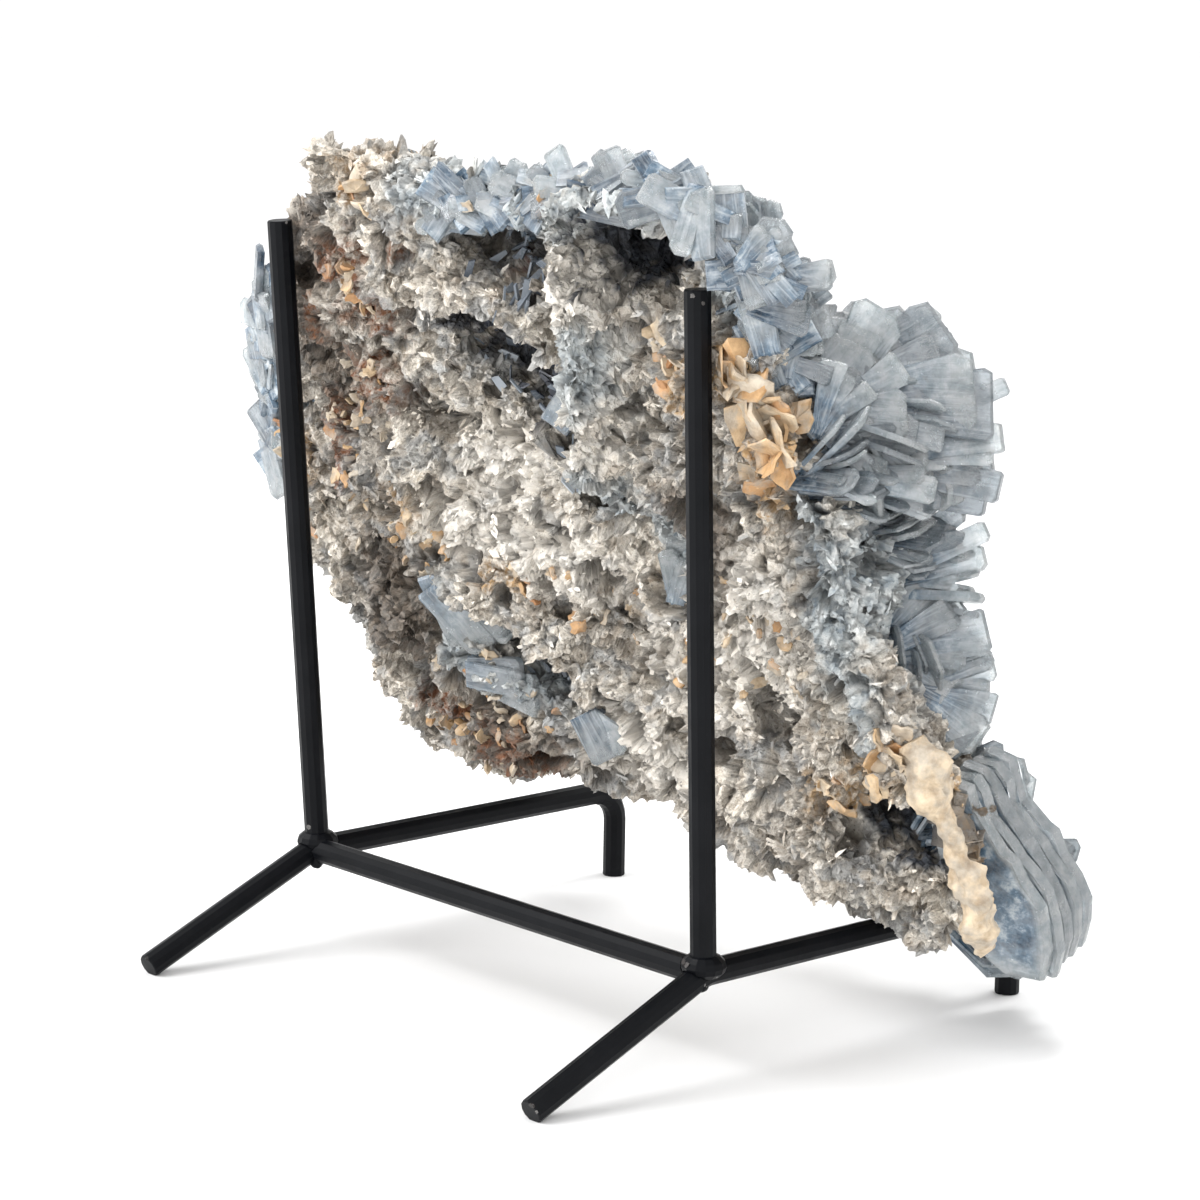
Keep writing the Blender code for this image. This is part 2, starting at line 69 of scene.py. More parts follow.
# The slab's rim, clockwise from the upper left: x and v at the back, x and v at the front, thickness.
RIM = (
    (-67, 162, -56, 146, 30),
    (-57, 179, -48, 159, 31),
    (-41, 186, -36, 164, 33),
    (-18, 171, -14, 153, 35),
    (4, 175, 2, 156, 38),
    (24, 178, 18, 156, 41),
    (42, 179, 33, 159, 43),
    (63, 180, 47, 155, 44),
    (79, 176, 57, 146, 44),
    (86, 166, 62, 136, 44),
    (86, 150, 70, 126, 44),
    (84, 133, 78, 118, 45),
    (94, 118, 80, 108, 46),
    (97, 98, 77, 94, 46),
    (96, 78, 74, 78, 46),
    (101, 58, 76, 58, 46),
    (108, 46, 80, 42, 46),
    (109, 25, 82, 25, 45),
    (108, 4, 84, 2, 44),
    (98, 1, 82, -14, 46),
    (84, 3, 74, -20, 48),
    (66, -2, 60, -18, 50),
    (45, 4, 40, -8, 50),
    (25, 18, 20, 0, 50),
    (4, 25, -10, 3, 50),
    (-27, 20, -36, 0, 51),
    (-53, 17, -58, -5, 52),
    (-72, 14, -76, -22, 50),
    (-90, 17, -87, -12, 50),
    (-92, 40, -91, 22, 46),
    (-97, 56, -96, 46, 44),
    (-98, 74, -97, 68, 42),
    (-100, 92, -97, 88, 40),
    (-97, 111, -94, 106, 38),
    (-92, 127, -87, 122, 35),
    (-84, 144, -75, 136, 32),
)
RINGS = ((0.0, 0.55), (0.0, 0.97), (0.11, 1.035), (0.5, 1.01), (0.86, 0.96), (1.0, 0.8), (1.08, 0.4))

# Hollows of the back face: x, v, half width, half height, turn in degrees, depth.
HOLLOWS = (
    (8, 161, 22, 12, -8, 15),
    (50, 162, 15, 13, 10, 27),
    (3, 129, 25, 13, -18, 18),
    (17, 112, 7, 13, 0, 12),
    (-24, 53, 25, 9, -30, 13),
    (93, 27, 15, 9, 0, 22),
    (90, 168, 6, 5, 0, 9),
    (93, 131, 6, 7, 0, 9),
    (-4, 66, 5, 4, 0, 6),
    (60, 95, 10, 16, 10, 4),
    (-60, 62, 12, 9, -30, 4),
    (36, 62, 9, 6, -30, 4),
    (-74, 118, 8, 12, 10, 4),
)
# How much painted shade a hollow gets: the depth that it has to pass, and the strength of that shade.
HOLLOW_SHADE = ((20, 1.0), (16, 0.95), (8, 0.66))
# Ribs and lips of the back face: half width, height, and the x and v points that each follows.
RIBS = (
    (7, 8, ((40, 176), (35, 156), (31, 131), (25, 108))),
    (5, 5, ((44, 176), (60, 178), (74, 170))),
    (6, 3, ((-14, 148), (8, 146), (24, 150))),
    (7, 4, ((-52, 70), (-30, 66), (-8, 52), (10, 36))),
    (6, 4, ((112, 56), (113, 38), (112, 12))),
    (8, 4, ((74, 140), (84, 126), (82, 110))),
    (8, 3, ((-54, 162), (-56, 140), (-54, 118))),
)
# Lumps of the surface: size of a lump and how far it stands out.
LUMPS = ((34.0, 3.2), (13.0, 2.6), (6.0, 1.3))
# Bundles of fine blades that make up the crust: size, height of their steps and of their ribs.
BUNDLES = ((11.0, 1.2, 1.2), (4.5, 0.7, 0.9))
RIB_WIDTH = 1.5
RIB_LENGTH = 8.0
# Pits: size, share of the surface that stays whole, and depth.
PITS = ((9.0, 0.24, 5.0), (3.6, 0.26, 2.4))
# Random height of each point of the surface, for its sugary grain.
GRIT = 0.5
COARSE_VOXEL = 1.5
CRUST_VOXEL = 0.78
# Depth at which the front of the crust begins, and the share of its faces that it keeps.
FRONT_DEPTH = 24.0
FRONT_KEPT = 0.4

# Fans of tabular crystals. Each: root in x, v, m; middle direction; the axis that the fan opens about;
# opening in degrees; number of tablets; length, width and thickness of a tablet.
FANS = (
    # Upper right: the great pale fan, two tiers, and the square-ended prisms under it.
    ((78, 118, 20), (1.0, -0.02, 0.6), (0.2, -0.75, 0.9), 92, 9, 32, 15, 3.4),
    ((76, 116, 30), (1.0, 0.05, 0.55), (0.1, -0.6, 0.9), 100, 8, 29, 12, 3.6),
    ((82, 112, 8), (1.0, 0.1, 0.25), (0.3, 0.2, 1.0), 70, 5, 24, 9, 3.0),
    ((82, 104, 28), (1.0, -0.1, 0.35), (0.0, 1.0, 0.3), 40, 3, 27, 7, 6.0),
    # Right flank, downward.
    ((78, 92, 22), (1.0, 0.0, 0.35), (0.0, 0.3, 1.0), 70, 6, 23, 11, 3.2),
    ((78, 76, 24), (1.0, 0.4, 0.35), (0.4, -0.2, 1.0), 50, 4, 27, 9, 4.6),
    ((78, 58, 24), (1.0, 0.1, 0.45), (0.1, 0.9, 0.4), 110, 7, 21, 14, 3.0),
    ((80, 44, 26), (1.0, 0.1, 0.35), (0.0, 0.4, 1.0), 80, 5, 18, 10, 3.4),
    # Lower right: the lobe of stacked blades that hangs past the stand's arm.
    ((84, 20, 20), (0.8, 0.3, 0.42), (0.85, 0.1, -0.5), 60, 6, 23, 20, 3.4),
    ((82, 2, 26), (0.95, -0.35, 0.3), (0.25, 0.1, 1.0), 62, 7, 30, 19, 3.6),
    ((80, -8, 32), (0.6, -0.85, 0.1), (0.5, 0.1, 0.9), 58, 7, 23, 17, 3.4),
    # Top edge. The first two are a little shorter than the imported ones.
    ((72, 150, 12), (0.75, 0.65, 0.3), (0.2, -0.3, 1.0), 90, 7, 16, 10, 3.0),
    ((76, 136, 18), (1.0, 0.35, 0.35), (0.3, 0.6, 0.5), 60, 4, 13, 9, 3.0),
    ((56, 152, 26), (0.2, 1.0, -0.35), (1.0, -0.1, 0.3), 80, 5, 16, 14, 3.0),
    ((30, 158, 24), (0.0, 1.0, -0.2), (0.9, 0.0, 0.6), 80, 5, 16, 14, 3.0),
    ((2, 156, 22), (-0.15, 1.0, -0.2), (0.8, 0.1, 0.7), 80, 5, 15, 14, 3.0),
    ((-34, 156, 12), (-0.2, 1.0, 0.1), (0.9, 0.2, 0.3), 70, 4, 20, 10, 3.0),
    # Left edge.
    ((-86, 112, 12), (-1.0, 0.12, -0.15), (0.1, 0.3, 1.0), 90, 5, 21, 10, 3.0),
    ((-90, 92, 12), (-1.0, -0.1, 0.0), (0.1, 1.0, 0.3), 80, 5, 23, 11, 3.0),
    ((-78, 50, 18), (-1.0, -0.35, 0.2), (0.2, 0.3, 1.0), 80, 4, 22, 10, 3.0),
    # Front.
    ((-58, 128, 20), (-0.2, 0.2, 1.0), (0.7, 0.7, 0.1), 100, 5, 24, 16, 3.4),
    ((-20, 138, 24), (0.1, 0.3, 1.0), (0.8, -0.6, 0.2), 110, 6, 26, 17, 3.4),
    ((24, 134, 30), (0.0, 0.25, 1.0), (0.2, 1.0, 0.0), 110, 6, 25, 18, 3.6),
    ((58, 112, 34), (0.35, 0.1, 1.0), (1.0, 0.2, 0.3), 100, 6, 25, 17, 3.4),
    ((-74, 86, 26), (-0.35, 0.0, 1.0), (0.4, 0.9, 0.1), 110, 6, 25, 16, 3.4),
    ((-36, 92, 32), (-0.1, 0.1, 1.0), (1.0, 0.4, 0.0), 120, 7, 27, 19, 3.8),
    ((8, 86, 36), (0.05, 0.0, 1.0), (0.6, 1.0, 0.0), 110, 7, 26, 18, 3.6),
    ((54, 66, 38), (0.3, 0.0, 1.0), (0.9, 0.5, 0.2), 110, 6, 24, 17, 3.6),
    ((-58, 40, 36), (-0.3, -0.15, 1.0), (0.9, -0.5, 0.1), 110, 6, 25, 17, 3.6),
    ((-14, 38, 40), (0.0, -0.15, 1.0), (0.3, 1.0, 0.1), 110, 6, 24, 18, 3.6),
    ((34, 26, 40), (0.15, -0.2, 1.0), (1.0, -0.3, 0.1), 100, 6, 24, 17, 3.6),
)
# How far tablets differ within a fan: degrees, shares of their size, and millimetres along the root.
ANGLE_SPREAD = 4.0
TILT_SPREAD = 14.0
TURN_SPREAD = 21.0
LENGTH_SPREAD = 0.18
WIDTH_SPREAD = 0.3
ROOT_SPREAD = 2.5
TIP_CHAMFER = 0.3
# Plates that a tablet is stacked from, and slimmer ones that stick out beside it.
STACK = 2
EXTRA_PLATES = 2

# Hand-shaped fans that lie over the crust: root, middle direction and the way they face, in x, v, m;
# opening in degrees; number of blades; length, width and thickness of a blade; its foot's share of width.
SHEETS = (
    # The great fan of the upper right: tiers from far to near, and the prisms under it.
    ((86, 124, 18), (0.63, -0.05, 0.77), (0.73, 0.45, -0.50), 60, 10, 32, 14, 2.0, 0.5),
    ((86, 124, 16), (0.30, 0.54, 0.75), (0.76, 0.40, -0.50), 60, 8, 19, 12, 1.8, 0.5),
    ((87, 123, 13), (0.60, 0.05, 0.76), (0.76, 0.40, -0.50), 96, 12, 26, 10, 1.6, 0.4),
    ((89, 122, 9), (0.55, 0.16, 0.74), (0.78, 0.35, -0.50), 120, 14, 17, 6, 1.2, 0.4),
    ((86, 112, 18), (0.65, -0.12, 0.75), (0.73, 0.30, -0.60), 34, 10, 37, 6, 2.4, 0.9),
    ((88, 111, 12), (0.64, -0.10, 0.72), (0.73, 0.30, -0.60), 50, 10, 24, 5, 1.6, 0.8),
    ((84, 106, 18), (0.66, -0.16, 0.70), (0.73, 0.30, -0.60), 24, 8, 35, 6, 2.2, 0.9),
    # Up to the top edge.
    ((78, 142, 6), (0.50, 0.40, 0.72), (0.73, 0.40, -0.56), 120, 16, 20, 6, 1.2, 0.5),
    ((82, 152, 5), (0.55, 0.30, 0.66), (0.63, 0.50, -0.60), 90, 14, 14, 6, 1.2, 0.5),
    ((84, 162, 4), (0.60, 0.00, 0.70), (0.66, 0.40, -0.60), 70, 10, 12, 5, 1.2, 0.6),
    ((89, 157, 8), (0.64, -0.10, 0.70), (0.50, 0.60, -0.60), 24, 4, 13, 5, 2.6, 1.0),
    # Right flank, downward.
    ((82, 94, 18), (0.66, -0.22, 0.72), (0.73, 0.40, -0.56), 60, 9, 12, 7, 1.8, 0.8),
    ((84, 80, 20), (0.66, 0.20, 0.70), (0.73, 0.40, -0.56), 26, 3, 26, 6, 3.0, 1.0),
    ((84, 64, 16), (0.68, 0.04, 0.70), (0.73, 0.40, -0.56), 112, 14, 24, 9, 1.8, 0.5),
    ((90, 56, 16), (0.66, -0.30, 0.72), (0.73, 0.40, -0.56), 76, 10, 24, 8, 1.6, 0.5),
)

# Plates half sunk in the crust of the back, in the same order of values.
BITS = (
    ((-38, 66, 1), (0.80, -0.50, 0.10), (0.30, 0.50, -0.80), 26, 4, 18, 6, 1.4, 1.0),
    ((-50, 69, 0), (0.25, -0.95, 0.15), (0.30, 0.20, -0.90), 22, 4, 21, 8, 1.8, 0.9),
    ((-44, 44, 0), (0.90, -0.10, 0.10), (0.10, 0.35, -0.90), 16, 4, 24, 8, 1.8, 0.9),
    ((15, 120, 0), (0.70, 0.55, 0.20), (0.40, -0.20, -0.90), 30, 4, 15, 7, 1.6, 0.9),
    ((38, 78, 3), (0.20, 0.95, 0.10), (0.50, 0.20, -0.80), 24, 4, 16, 6, 2.0, 0.9),
    ((-3, 40, 0), (0.60, -0.70, 0.10), (0.20, 0.50, -0.80), 30, 4, 14, 7, 1.6, 0.9),
)
# Where the colours of a sunk plate start, from those of a root, 0, to those of a tip, 1.
BIT_REACH = 0.5

# Plates that lie jumbled along an edge: the line in x, v, m; count; length and width; the way they face.
JUMBLES = (
    (((-14, 169, 2), (6, 172, 3), (24, 175, 3), (42, 177, 3), (60, 177, 3)),
     80, 13, 7, (0.35, 0.45, -0.80)),
    (((60, 179, 3), (75, 175, 3), (85, 165, 4), (92, 158, 6)), 50, 13, 7, (0.55, 0.45, -0.65)),
    (((-87, 146, 3), (-97, 130, 3), (-101, 116, 3), (-105, 102, 3), (-107, 88, 3)),
     60, 13, 8, (-0.1, 0.2, -0.95)),
    (((88, 150, 5), (84, 140, 5), (86, 132, 8)), 26, 12, 7, (0.70, 0.30, -0.60)),
)
# How far a jumbled plate turns in degrees, strays to the side, and lies below or above the line.
JUMBLE_SPREAD = 65.0
JUMBLE_STRAY = 3.5
JUMBLE_DEPTH = (-2.6, 0.5)

# The lobe of the lower right: the rim of its farthest plate in x, v, m. Nearer plates repeat it.
LOBE = (
    (96, 34, 20),
    (104, 40, 22),
    (108, 38, 24),
    (109, 34, 25),
    (109, 27, 26),
    (112, 20, 27),
    (113, 17, 28),
    (114, 12, 29),
    (116, 6, 30),
    (116, -1, 31),
    (115, -9, 31),
    (111, -16, 31),
    (103, -14, 28),
    (100, -9, 26),
    (97, -1, 24),
    (97, 13, 22),
    (98, 30, 21),
)
LOBE_PLATES = 5
LOBE_STEP = 3.5
LOBE_RAGGED = 1.0
# A plate's rings of points: their depth as a share of the step, and their sizes.
LOBE_RINGS = ((0.0, (0.35, 0.6, 0.8, 0.92, 0.98)), (0.3, (1.0,)), (0.8, (0.98,)))

# Blades that line the hollows: x and v of the middle, reach, count, length, direction of growth.
BLADES = (
    ((10, 158), (21, 11), 170, (3, 6), (0.8, 0.5, -0.1)),
    ((3, 129), (25, 13), 190, (3, 6), (-0.5, 0.8, -0.1)),
    ((-24, 53), (25, 9), 130, (3, 6), (0.7, -0.5, -0.1)),
    ((17, 112), (7, 13), 120, (2, 5), (0.2, 0.9, -0.1)),
)

# Stains of the crust by kind: x, v, half width, half height.
STAINS = {
    "rust": (
        (-47, 152, 7, 11), (-44, 140, 7, 8), (-55, 121, 11, 8), (-76, 101, 7, 12),
        (-64, 140, 5, 8), (-28, 158, 4, 3), (-40, 20, 16, 9), (-66, 30, 9, 9),
        (4, 154, 4, 4),
    ),
    "ochre": (
        (-55, 90, 8, 7), (-94, 96, 6, 9), (-20, 76, 8, 5), (78, 138, 10, 8),
        (88, 124, 9, 8), (79, 111, 8, 10), (62, 132, 9, 7), (89, 42, 9, 9),
        (76, 34, 7, 6), (112, 44, 6, 12), (113, 22, 6, 16), (-38, 174, 8, 6),
        (10, 172, 6, 3),
    ),
    "dark": (
        (-72, 132, 16, 30), (-60, 158, 12, 14), (-66, 58, 18, 22), (-38, 24, 28, 12),
        (50, 94, 10, 14), (88, 100, 6, 16),
    ),
    "pale": (
        (-13, 101, 20, 16), (2, 82, 22, 12), (-30, 84, 20, 12), (34, 152, 8, 22),
        (30, 124, 8, 18), (46, 60, 26, 14), (14, 32, 24, 10), (64, 172, 22, 8),
        (64, 80, 16, 22),
    ),
    "glass": (
        (-8, 172, 20, 7), (22, 172, 24, 8), (52, 174, 22, 7), (80, 158, 10, 14),
        (-100, 116, 8, 30), (32, 136, 7, 12), (40, 92, 8, 9), (-48, 56, 7, 14),
        (-26, 42, 18, 6), (24, 104, 8, 10), (90, 80, 8, 40),
    ),
}
STAIN_KINDS = tuple(STAINS)
# Depth past which the crust has no stains, reach at which a stain ends, and how sharply it does.
STAIN_DEPTH = 32.0
STAIN_EDGE = 1.25
STAIN_SHARPNESS = 1.6

# Petals: thin curled flakes of tan and orange crust. Middle in x and v, reach, count, size.
PETALS = (
    ((81, 138), (5, 4), 9, 13.0),
    ((85, 127), (6, 5), 12, 13.0),
    ((88, 119), (4, 4), 6, 10.0),
    ((79, 112), (3, 5), 5, 9.0),
    ((99, 113), (5, 6), 8, 7.0),
    ((52, 138), (7, 8), 16, 6.0),
    ((21, 109), (2, 6), 5, 5.0),
    ((78, 34), (7, 5), 12, 8.0),
    ((104, 52), (8, 4), 16, 8.0),
    ((92, 44), (6, 5), 10, 7.0),
    ((-36, 172), (5, 5), 7, 7.0),
    ((-1, 171), (6, 3), 12, 5.0),
    ((27, 174), (6, 3), 6, 6.0),
    ((-48, 148), (6, 10), 14, 5.0),
    ((-58, 118), (10, 14), 24, 4.5),
    ((-74, 92), (8, 22), 26, 5.0),
    ((-52, 82), (10, 12), 18, 5.0),
    ((-36, 40), (26, 10), 30, 5.0),
    ((-50, 22), (26, 10), 30, 5.0),
    ((0, 74), (16, 9), 20, 4.5),
    ((30, 66), (18, 12), 20, 4.5),
    ((60, 70), (18, 16), 22, 4.5),
    ((-96, 92), (4, 20), 22, 6.0),
)
PETAL_SIDES = 11
# Petals grow no deeper than this, and in no hollow deeper than this.
PETAL_DEPTH = 9.0
PETAL_HOLLOW = 4.0
PETAL_SHARP_ANGLE = math.radians(50.0)
# The tan ridge of the lower right: x, v and m of its middle line, and half width.
RIDGE = (
    (104, 53, 2, 3.0),
    (107, 48, 1, 5.0),
    (109, 41, 1, 4.5),
    (110, 33, 1, 2.6),
    (111, 25, 1, 2.8),
    (113, 18, 1, 4.4),
    (113, 11, 1, 4.4),
    (112, 4, 2, 3.0),
    (110, -1, 4, 2.0),
)
RIDGE_STEPS = 12
RIDGE_SIDES = 24

# Scales of the crust: rim points; least size and added size; how many lie on the back and the front,
# and how many rosettes of laths.
FLAKE_SIDES = 5
FLAKE_SIZE = (0.6, 2.2)
FLAKES_BACK = 16000
FLAKES_REST = 8000
ROSETTES_BACK = 30
ROSETTES_REST = 200
# Scales and rosettes of the back keep to hollows no deeper than this.
OPEN_HOLLOW = 1.5

# Scuffs of the stand's paint: x, y and z near the rod in the stand's own frame, size, and the shade
# of the bare steel, 0 dark to 1 bright.
SCUFFS = (
    (-69.4, -2.0, 29.2, 1.8, 0.7),
    (-67.7, -1.7, 23.7, 1.2, 0.2),
    (67.8, -6.3, 27.1, 2.6, 0.35),
    (69.7, -4.5, 26.1, 2.4, 0.5),
    (72.8, -2.2, 21.8, 1.0, 0.9),
    (74.1, -1.2, 20.3, 0.9, 1.0),
    (74.6, 0.1, 22.9, 0.8, 0.9),
    (72.5, -3.3, 19.2, 0.8, 0.8),
    (71.5, -9.8, 173.2, 1.8, 0.6),
    (74.0, -7.5, 171.6, 1.4, 0.5),
    (-66.0, -11.2, 178.9, 1.0, 0.7),
    (71.4, -51.6, 4.0, 2.6, 0.25),
    (72.5, -50.6, 2.8, 1.2, 0.9),
    (-68.9, -51.6, 5.0, 1.6, 0.1),
)
SCUFF_SIDES = 9
# Drops of weld: x, y and z in the stand's own frame, and radius.
WELD_DROPS = (
    (-67.6, -1.0, 20.6, 1.7),
    (-69.2, -2.2, 21.4, 1.2),
    (71.4, -1.8, 21.2, 1.5),
    (68.2, -2.6, 23.0, 1.2),
    (72.4, 0.4, 25.0, 1.1),
)

# The camera of the photo: millimetres in the stand's frame, and degrees.
CAMERA_TARGET = Vector((13.45, 18.71, 96.36))
CAMERA_AZIMUTH = 47.8
CAMERA_ELEVATION = 10.53
CAMERA_ROLL = 0.97
CAMERA_DISTANCE = 835.17
CAMERA_LENS = 108.48
CAMERA_SENSOR = 36.0

# Area lights: name, place, size across and power, in metres and watts. All aim at the stone.
LIGHTS = (
    ("top", (0.05, 0.4, 1.5), 0.5, 11.0),
    ("key", (-0.75, -1.2, 1.2), 1.2, 30.0),
    ("side", (1.1, -0.7, 1.0), 0.9, 6.0),
)
LIGHT_AIM = Vector((0.0, 0.0, 0.1))
WORLD_STRENGTH = 1.06
FLOOR_HALF = 6.0

# Seeds of the random draws. Blender seeds its vector noise from the clock, so that has one too.
SEEDS = {
    "noise": 29,
    "scales_back": 3,
    "scales_front": 4,
    "laths_back": 7,
    "laths_front": 8,
    "fans": 11,
    "stacked_plates": 5,
    "sheets": 31,
    "sunk_plates": 37,
    "jumbles": 61,
    "lobe": 71,
    "blades": 23,
    "petals": 41,
    "scuffs": 53,
}


def stand_shift():
    """From the stand's own frame, which starts between the two bends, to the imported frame."""
    low_left, high_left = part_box("base_rod_left")
    low_right, high_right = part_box("base_rod_right")
    middle = (low_left.x + high_right.x) / 2
    front = max(high_left.y, high_right.y) - (FRONT_REACH + ROD_RADIUS) * MM
    return Vector((middle, front, 0.0))


SHIFT = stand_shift()
STONE_PLACE = (
    Matrix.Translation(SHIFT)
    @ Matrix.Scale(MM, 4)
    @ Matrix.Translation(STONE_FOOT)
    @ Matrix.Rotation(STONE_TILT, 4, "X")
)


# Helpers for numbers and meshes.


def clamped(value):
    return max(0.0, min(1.0, value))


def any_way(chance):
    """A vector with random parts between -1 and 1."""
    return Vector((chance.uniform(-1, 1), chance.uniform(-1, 1), chance.uniform(-1, 1)))


def spot_in(chance, middle, reach):
    """A random x and v inside an ellipse."""
    angle = chance.uniform(0.0, 2.0 * math.pi)
    far = math.sqrt(chance.random())
    x = middle[0] + math.cos(angle) * reach[0] * far
    v = middle[1] + math.sin(angle) * reach[1] * far
    return x, v


def as_place(triple):
    """x, v, m as the tables give them, in the order x, m, v of the meshes."""
    x, v, m = triple
    return Vector((x, m, v))


def ring_faces(rings, sides):
    """The quads between rings of points that are numbered one ring after another."""
    faces = []
    for ring in range(rings - 1):
        low = ring * sides
        for i in range(sides):
            j = (i + 1) % sides
            faces.append((low + i, low + j, low + sides + j, low + sides + i))
    return faces


def linked(name, data):
    obj = bpy.data.objects.new(name, data)
    bpy.context.scene.collection.objects.link(obj)
    return obj


def mesh_object(name, bm):
    mesh = bpy.data.meshes.new(name)
    bm.to_mesh(mesh)
    bm.free()
    return linked(name, mesh)


def applied(obj):
    graph = bpy.context.evaluated_depsgraph_get()
    graph.update()
    mesh = bpy.data.meshes.new_from_object(obj.evaluated_get(graph))
    obj.modifiers.clear()
    obj.data = mesh
    return obj


def remeshed(obj, voxel):
    modifier = obj.modifiers.new("even grid", "REMESH")
    modifier.mode = "VOXEL"
    modifier.voxel_size = voxel
    return applied(obj)


def set_attribute(mesh, name, values):
    attribute = mesh.attributes.new(name, "FLOAT", "POINT")
    attribute.data.foreach_set("value", values)


class Shards:
    """Flat-sided bits gathered into one mesh, each with its own tone, reach and stains."""

    def __init__(self):
        self.verts = []
        self.faces = []
        # The hollow value carries the painted shade of the hollows.
        self.values = {name: [] for name in ("tone", "reach", "streak", "hollow", *STAIN_KINDS)}

    def add(self, corners, faces, tone, reaches=None, streaks=None):
        start = len(self.verts)
        self.verts.extend(corners)
        self.faces.extend([tuple(start + i for i in face) for face in faces])
        count = len(corners)
        self.values["tone"].extend([tone] * count)
        self.values["reach"].extend(reaches or [0.0] * count)
        self.values["streak"].extend(streaks or [0.0] * count)
        for name, amount in zone(corners[0]).items():
            self.values[name].extend([amount] * count)

    def build(self, name):
        mesh = bpy.data.meshes.new(name)
        mesh.from_pydata(self.verts, [], self.faces)
        for kind, values in self.values.items():
            set_attribute(mesh, kind, values)
        mesh.update()
        return linked(name, mesh)


def place_stone(obj, material):
    """Lean a piece of the stone on the stand and hand it to the frame."""
    obj.data.transform(STONE_PLACE)
    obj.data.materials.clear()
    obj.data.materials.append(material)
    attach(obj, "root")
    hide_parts("barite")


# The crust.


def slab_cage():
    """A coarse closed form lofted through rings of the rim, from the back face to the front one."""
    bm = bmesh.new()
    middle_x, middle_v = STONE_MIDDLE
    rings = []
    for share, size in RINGS:
        ring = []
        for back_x, back_v, front_x, front_v, thickness in RIM:
            x = back_x + (front_x - back_x) * share
            v = back_v + (front_v - back_v) * share
            x = middle_x + (x - middle_x) * size
            v = middle_v + (v - middle_v) * size
            ring.append(bm.verts.new((x, share * thickness, v)))
        rings.append(ring)
    for ring, following in zip(rings, rings[1:]):
        for i in range(len(ring)):
            j = (i + 1) % len(ring)
            bm.faces.new((ring[i], ring[j], following[j], following[i]))
    bm.faces.new(rings[0])
    bm.faces.new(rings[-1])
    bmesh.ops.recalc_face_normals(bm, faces=bm.faces)
    return bm


def distance_to_line(x, v, line):
    here = Vector((x, v))
    nearest = math.inf
    for (x0, v0), (x1, v1) in zip(line, line[1:]):
        start = Vector((x0, v0))
        run = Vector((x1, v1)) - start
        along = clamped((here - start).dot(run) / run.length_squared)
        nearest = min(nearest, (here - start - run * along).length)
    return nearest


def hollow_share(x, v):
    """How deep the hollows go at a point of the back face, and how much painted shade they get there."""
    wobble = noise.noise(Vector((x, v, 3.0)) / 7.0) * 0.35 + noise.noise(Vector((x, v, 5.0)) / 2.5) * 0.12
    depth = 0.0
    inside = 0.0
    for centre_x, centre_v, half_x, half_v, turn, deep in HOLLOWS:
        cos, sin = math.cos(math.radians(turn)), math.sin(math.radians(turn))
        across = ((x - centre_x) * cos + (v - centre_v) * sin) / half_x
        along = ((v - centre_v) * cos - (x - centre_x) * sin) / half_v
        edge = math.hypot(across, along) + wobble
        if edge < 1.0:
            depth = max(depth, deep * (1.0 - edge * edge) ** 0.5)
            # Painted shade: a hollow is darkened inside, more so the deeper it is.
            hollow_shade_here = next((dark for least, dark in HOLLOW_SHADE if deep > least), 0.0)
            inside = max(inside, hollow_shade_here * min(1.0, (1.0 - edge) * 8.0))
    return depth, inside


def hollow_depth(x, v):
    return hollow_share(x, v)[0]


def rib_height(x, v):
    wobble = noise.noise(Vector((x, v, 3.0)) / 7.0) * 0.35
    height = 0.0
    for half_width, high, line in RIBS:
        edge = distance_to_line(x, v, line) / half_width + wobble
        if edge < 1.0:
            height += high * (1.0 - edge * edge)
    return height


def upright_face(x, v):
    """The depth m at which the stone meets the front of the nearer upright."""
    foot_y, top_y, top_height = UPRIGHTS[0 if x + STONE_FOOT.x < 0.0 else 1]
    height = STONE_FOOT.z + v * math.cos(STONE_TILT)
    rise = (height - BEND_HEIGHT) / (top_height - BEND_HEIGHT)
    rod_front = ROD_RADIUS + CLEARANCE + foot_y + rise * (top_y - foot_y)
    return (rod_front - STONE_FOOT.y + v * math.sin(STONE_TILT)) / math.cos(STONE_TILT)


def clear_of_rods(point):
    """Keep a point of the stone off the uprights and off the arms that it rests on."""
    x, m, v = point
    beside = abs(abs(x + STONE_FOOT.x) - ROD_SPACING / 2) - ROD_RADIUS
    point.y = max(m, upright_face(x, v) - max(0.0, beside - 1.0))
    height = STONE_FOOT.z + point.z * math.cos(STONE_TILT) + point.y * math.sin(STONE_TILT)
    arm_top = BEND_HEIGHT + ROD_RADIUS + CLEARANCE
    if beside < 0.5 and height < arm_top:
        point.z += (arm_top - height) / math.cos(STONE_TILT)
    return point


def roughened(obj):
    """Work the hollows and ribs into the back face and lumps into every side."""
    mesh = obj.data
    normals = [vertex.normal.copy() for vertex in mesh.vertices]
    for vertex, normal in zip(mesh.vertices, normals):
        x, m, v = vertex.co
        inward = 0.0
        if m < 12.0:
            inward = (hollow_depth(x, v) - rib_height(x, v)) * clamped(-normal.y * 1.6)
        out = 0.0
        for size, height in LUMPS:
            out += noise.noise(Vector((x, m + 40.0, v)) / size) * height * 2.0
        vertex.co += Vector((0.0, inward, 0.0)) + normal * out


def bundle_at(point, normal, size):
    """The bundle at a point: where the point lies across and along it, its own number, and its rim."""
    near, places = noise.voronoi(point / size)
    start = places[0] * size
    chance = noise.cell_vector(start * 3.7)
    growth = (chance - Vector((0.5, 0.5, 0.5))) * 2.0
    growth -= normal * growth.dot(normal)
    if growth.length < 0.01:
        growth = normal.orthogonal()
    growth.normalize()
    side = normal.cross(growth)
    from_start = point - start
    rim = 1.0 - min(1.0, (near[1] - near[0]) * 5.0)
    return from_start.dot(side), from_start.dot(growth), chance.x, rim


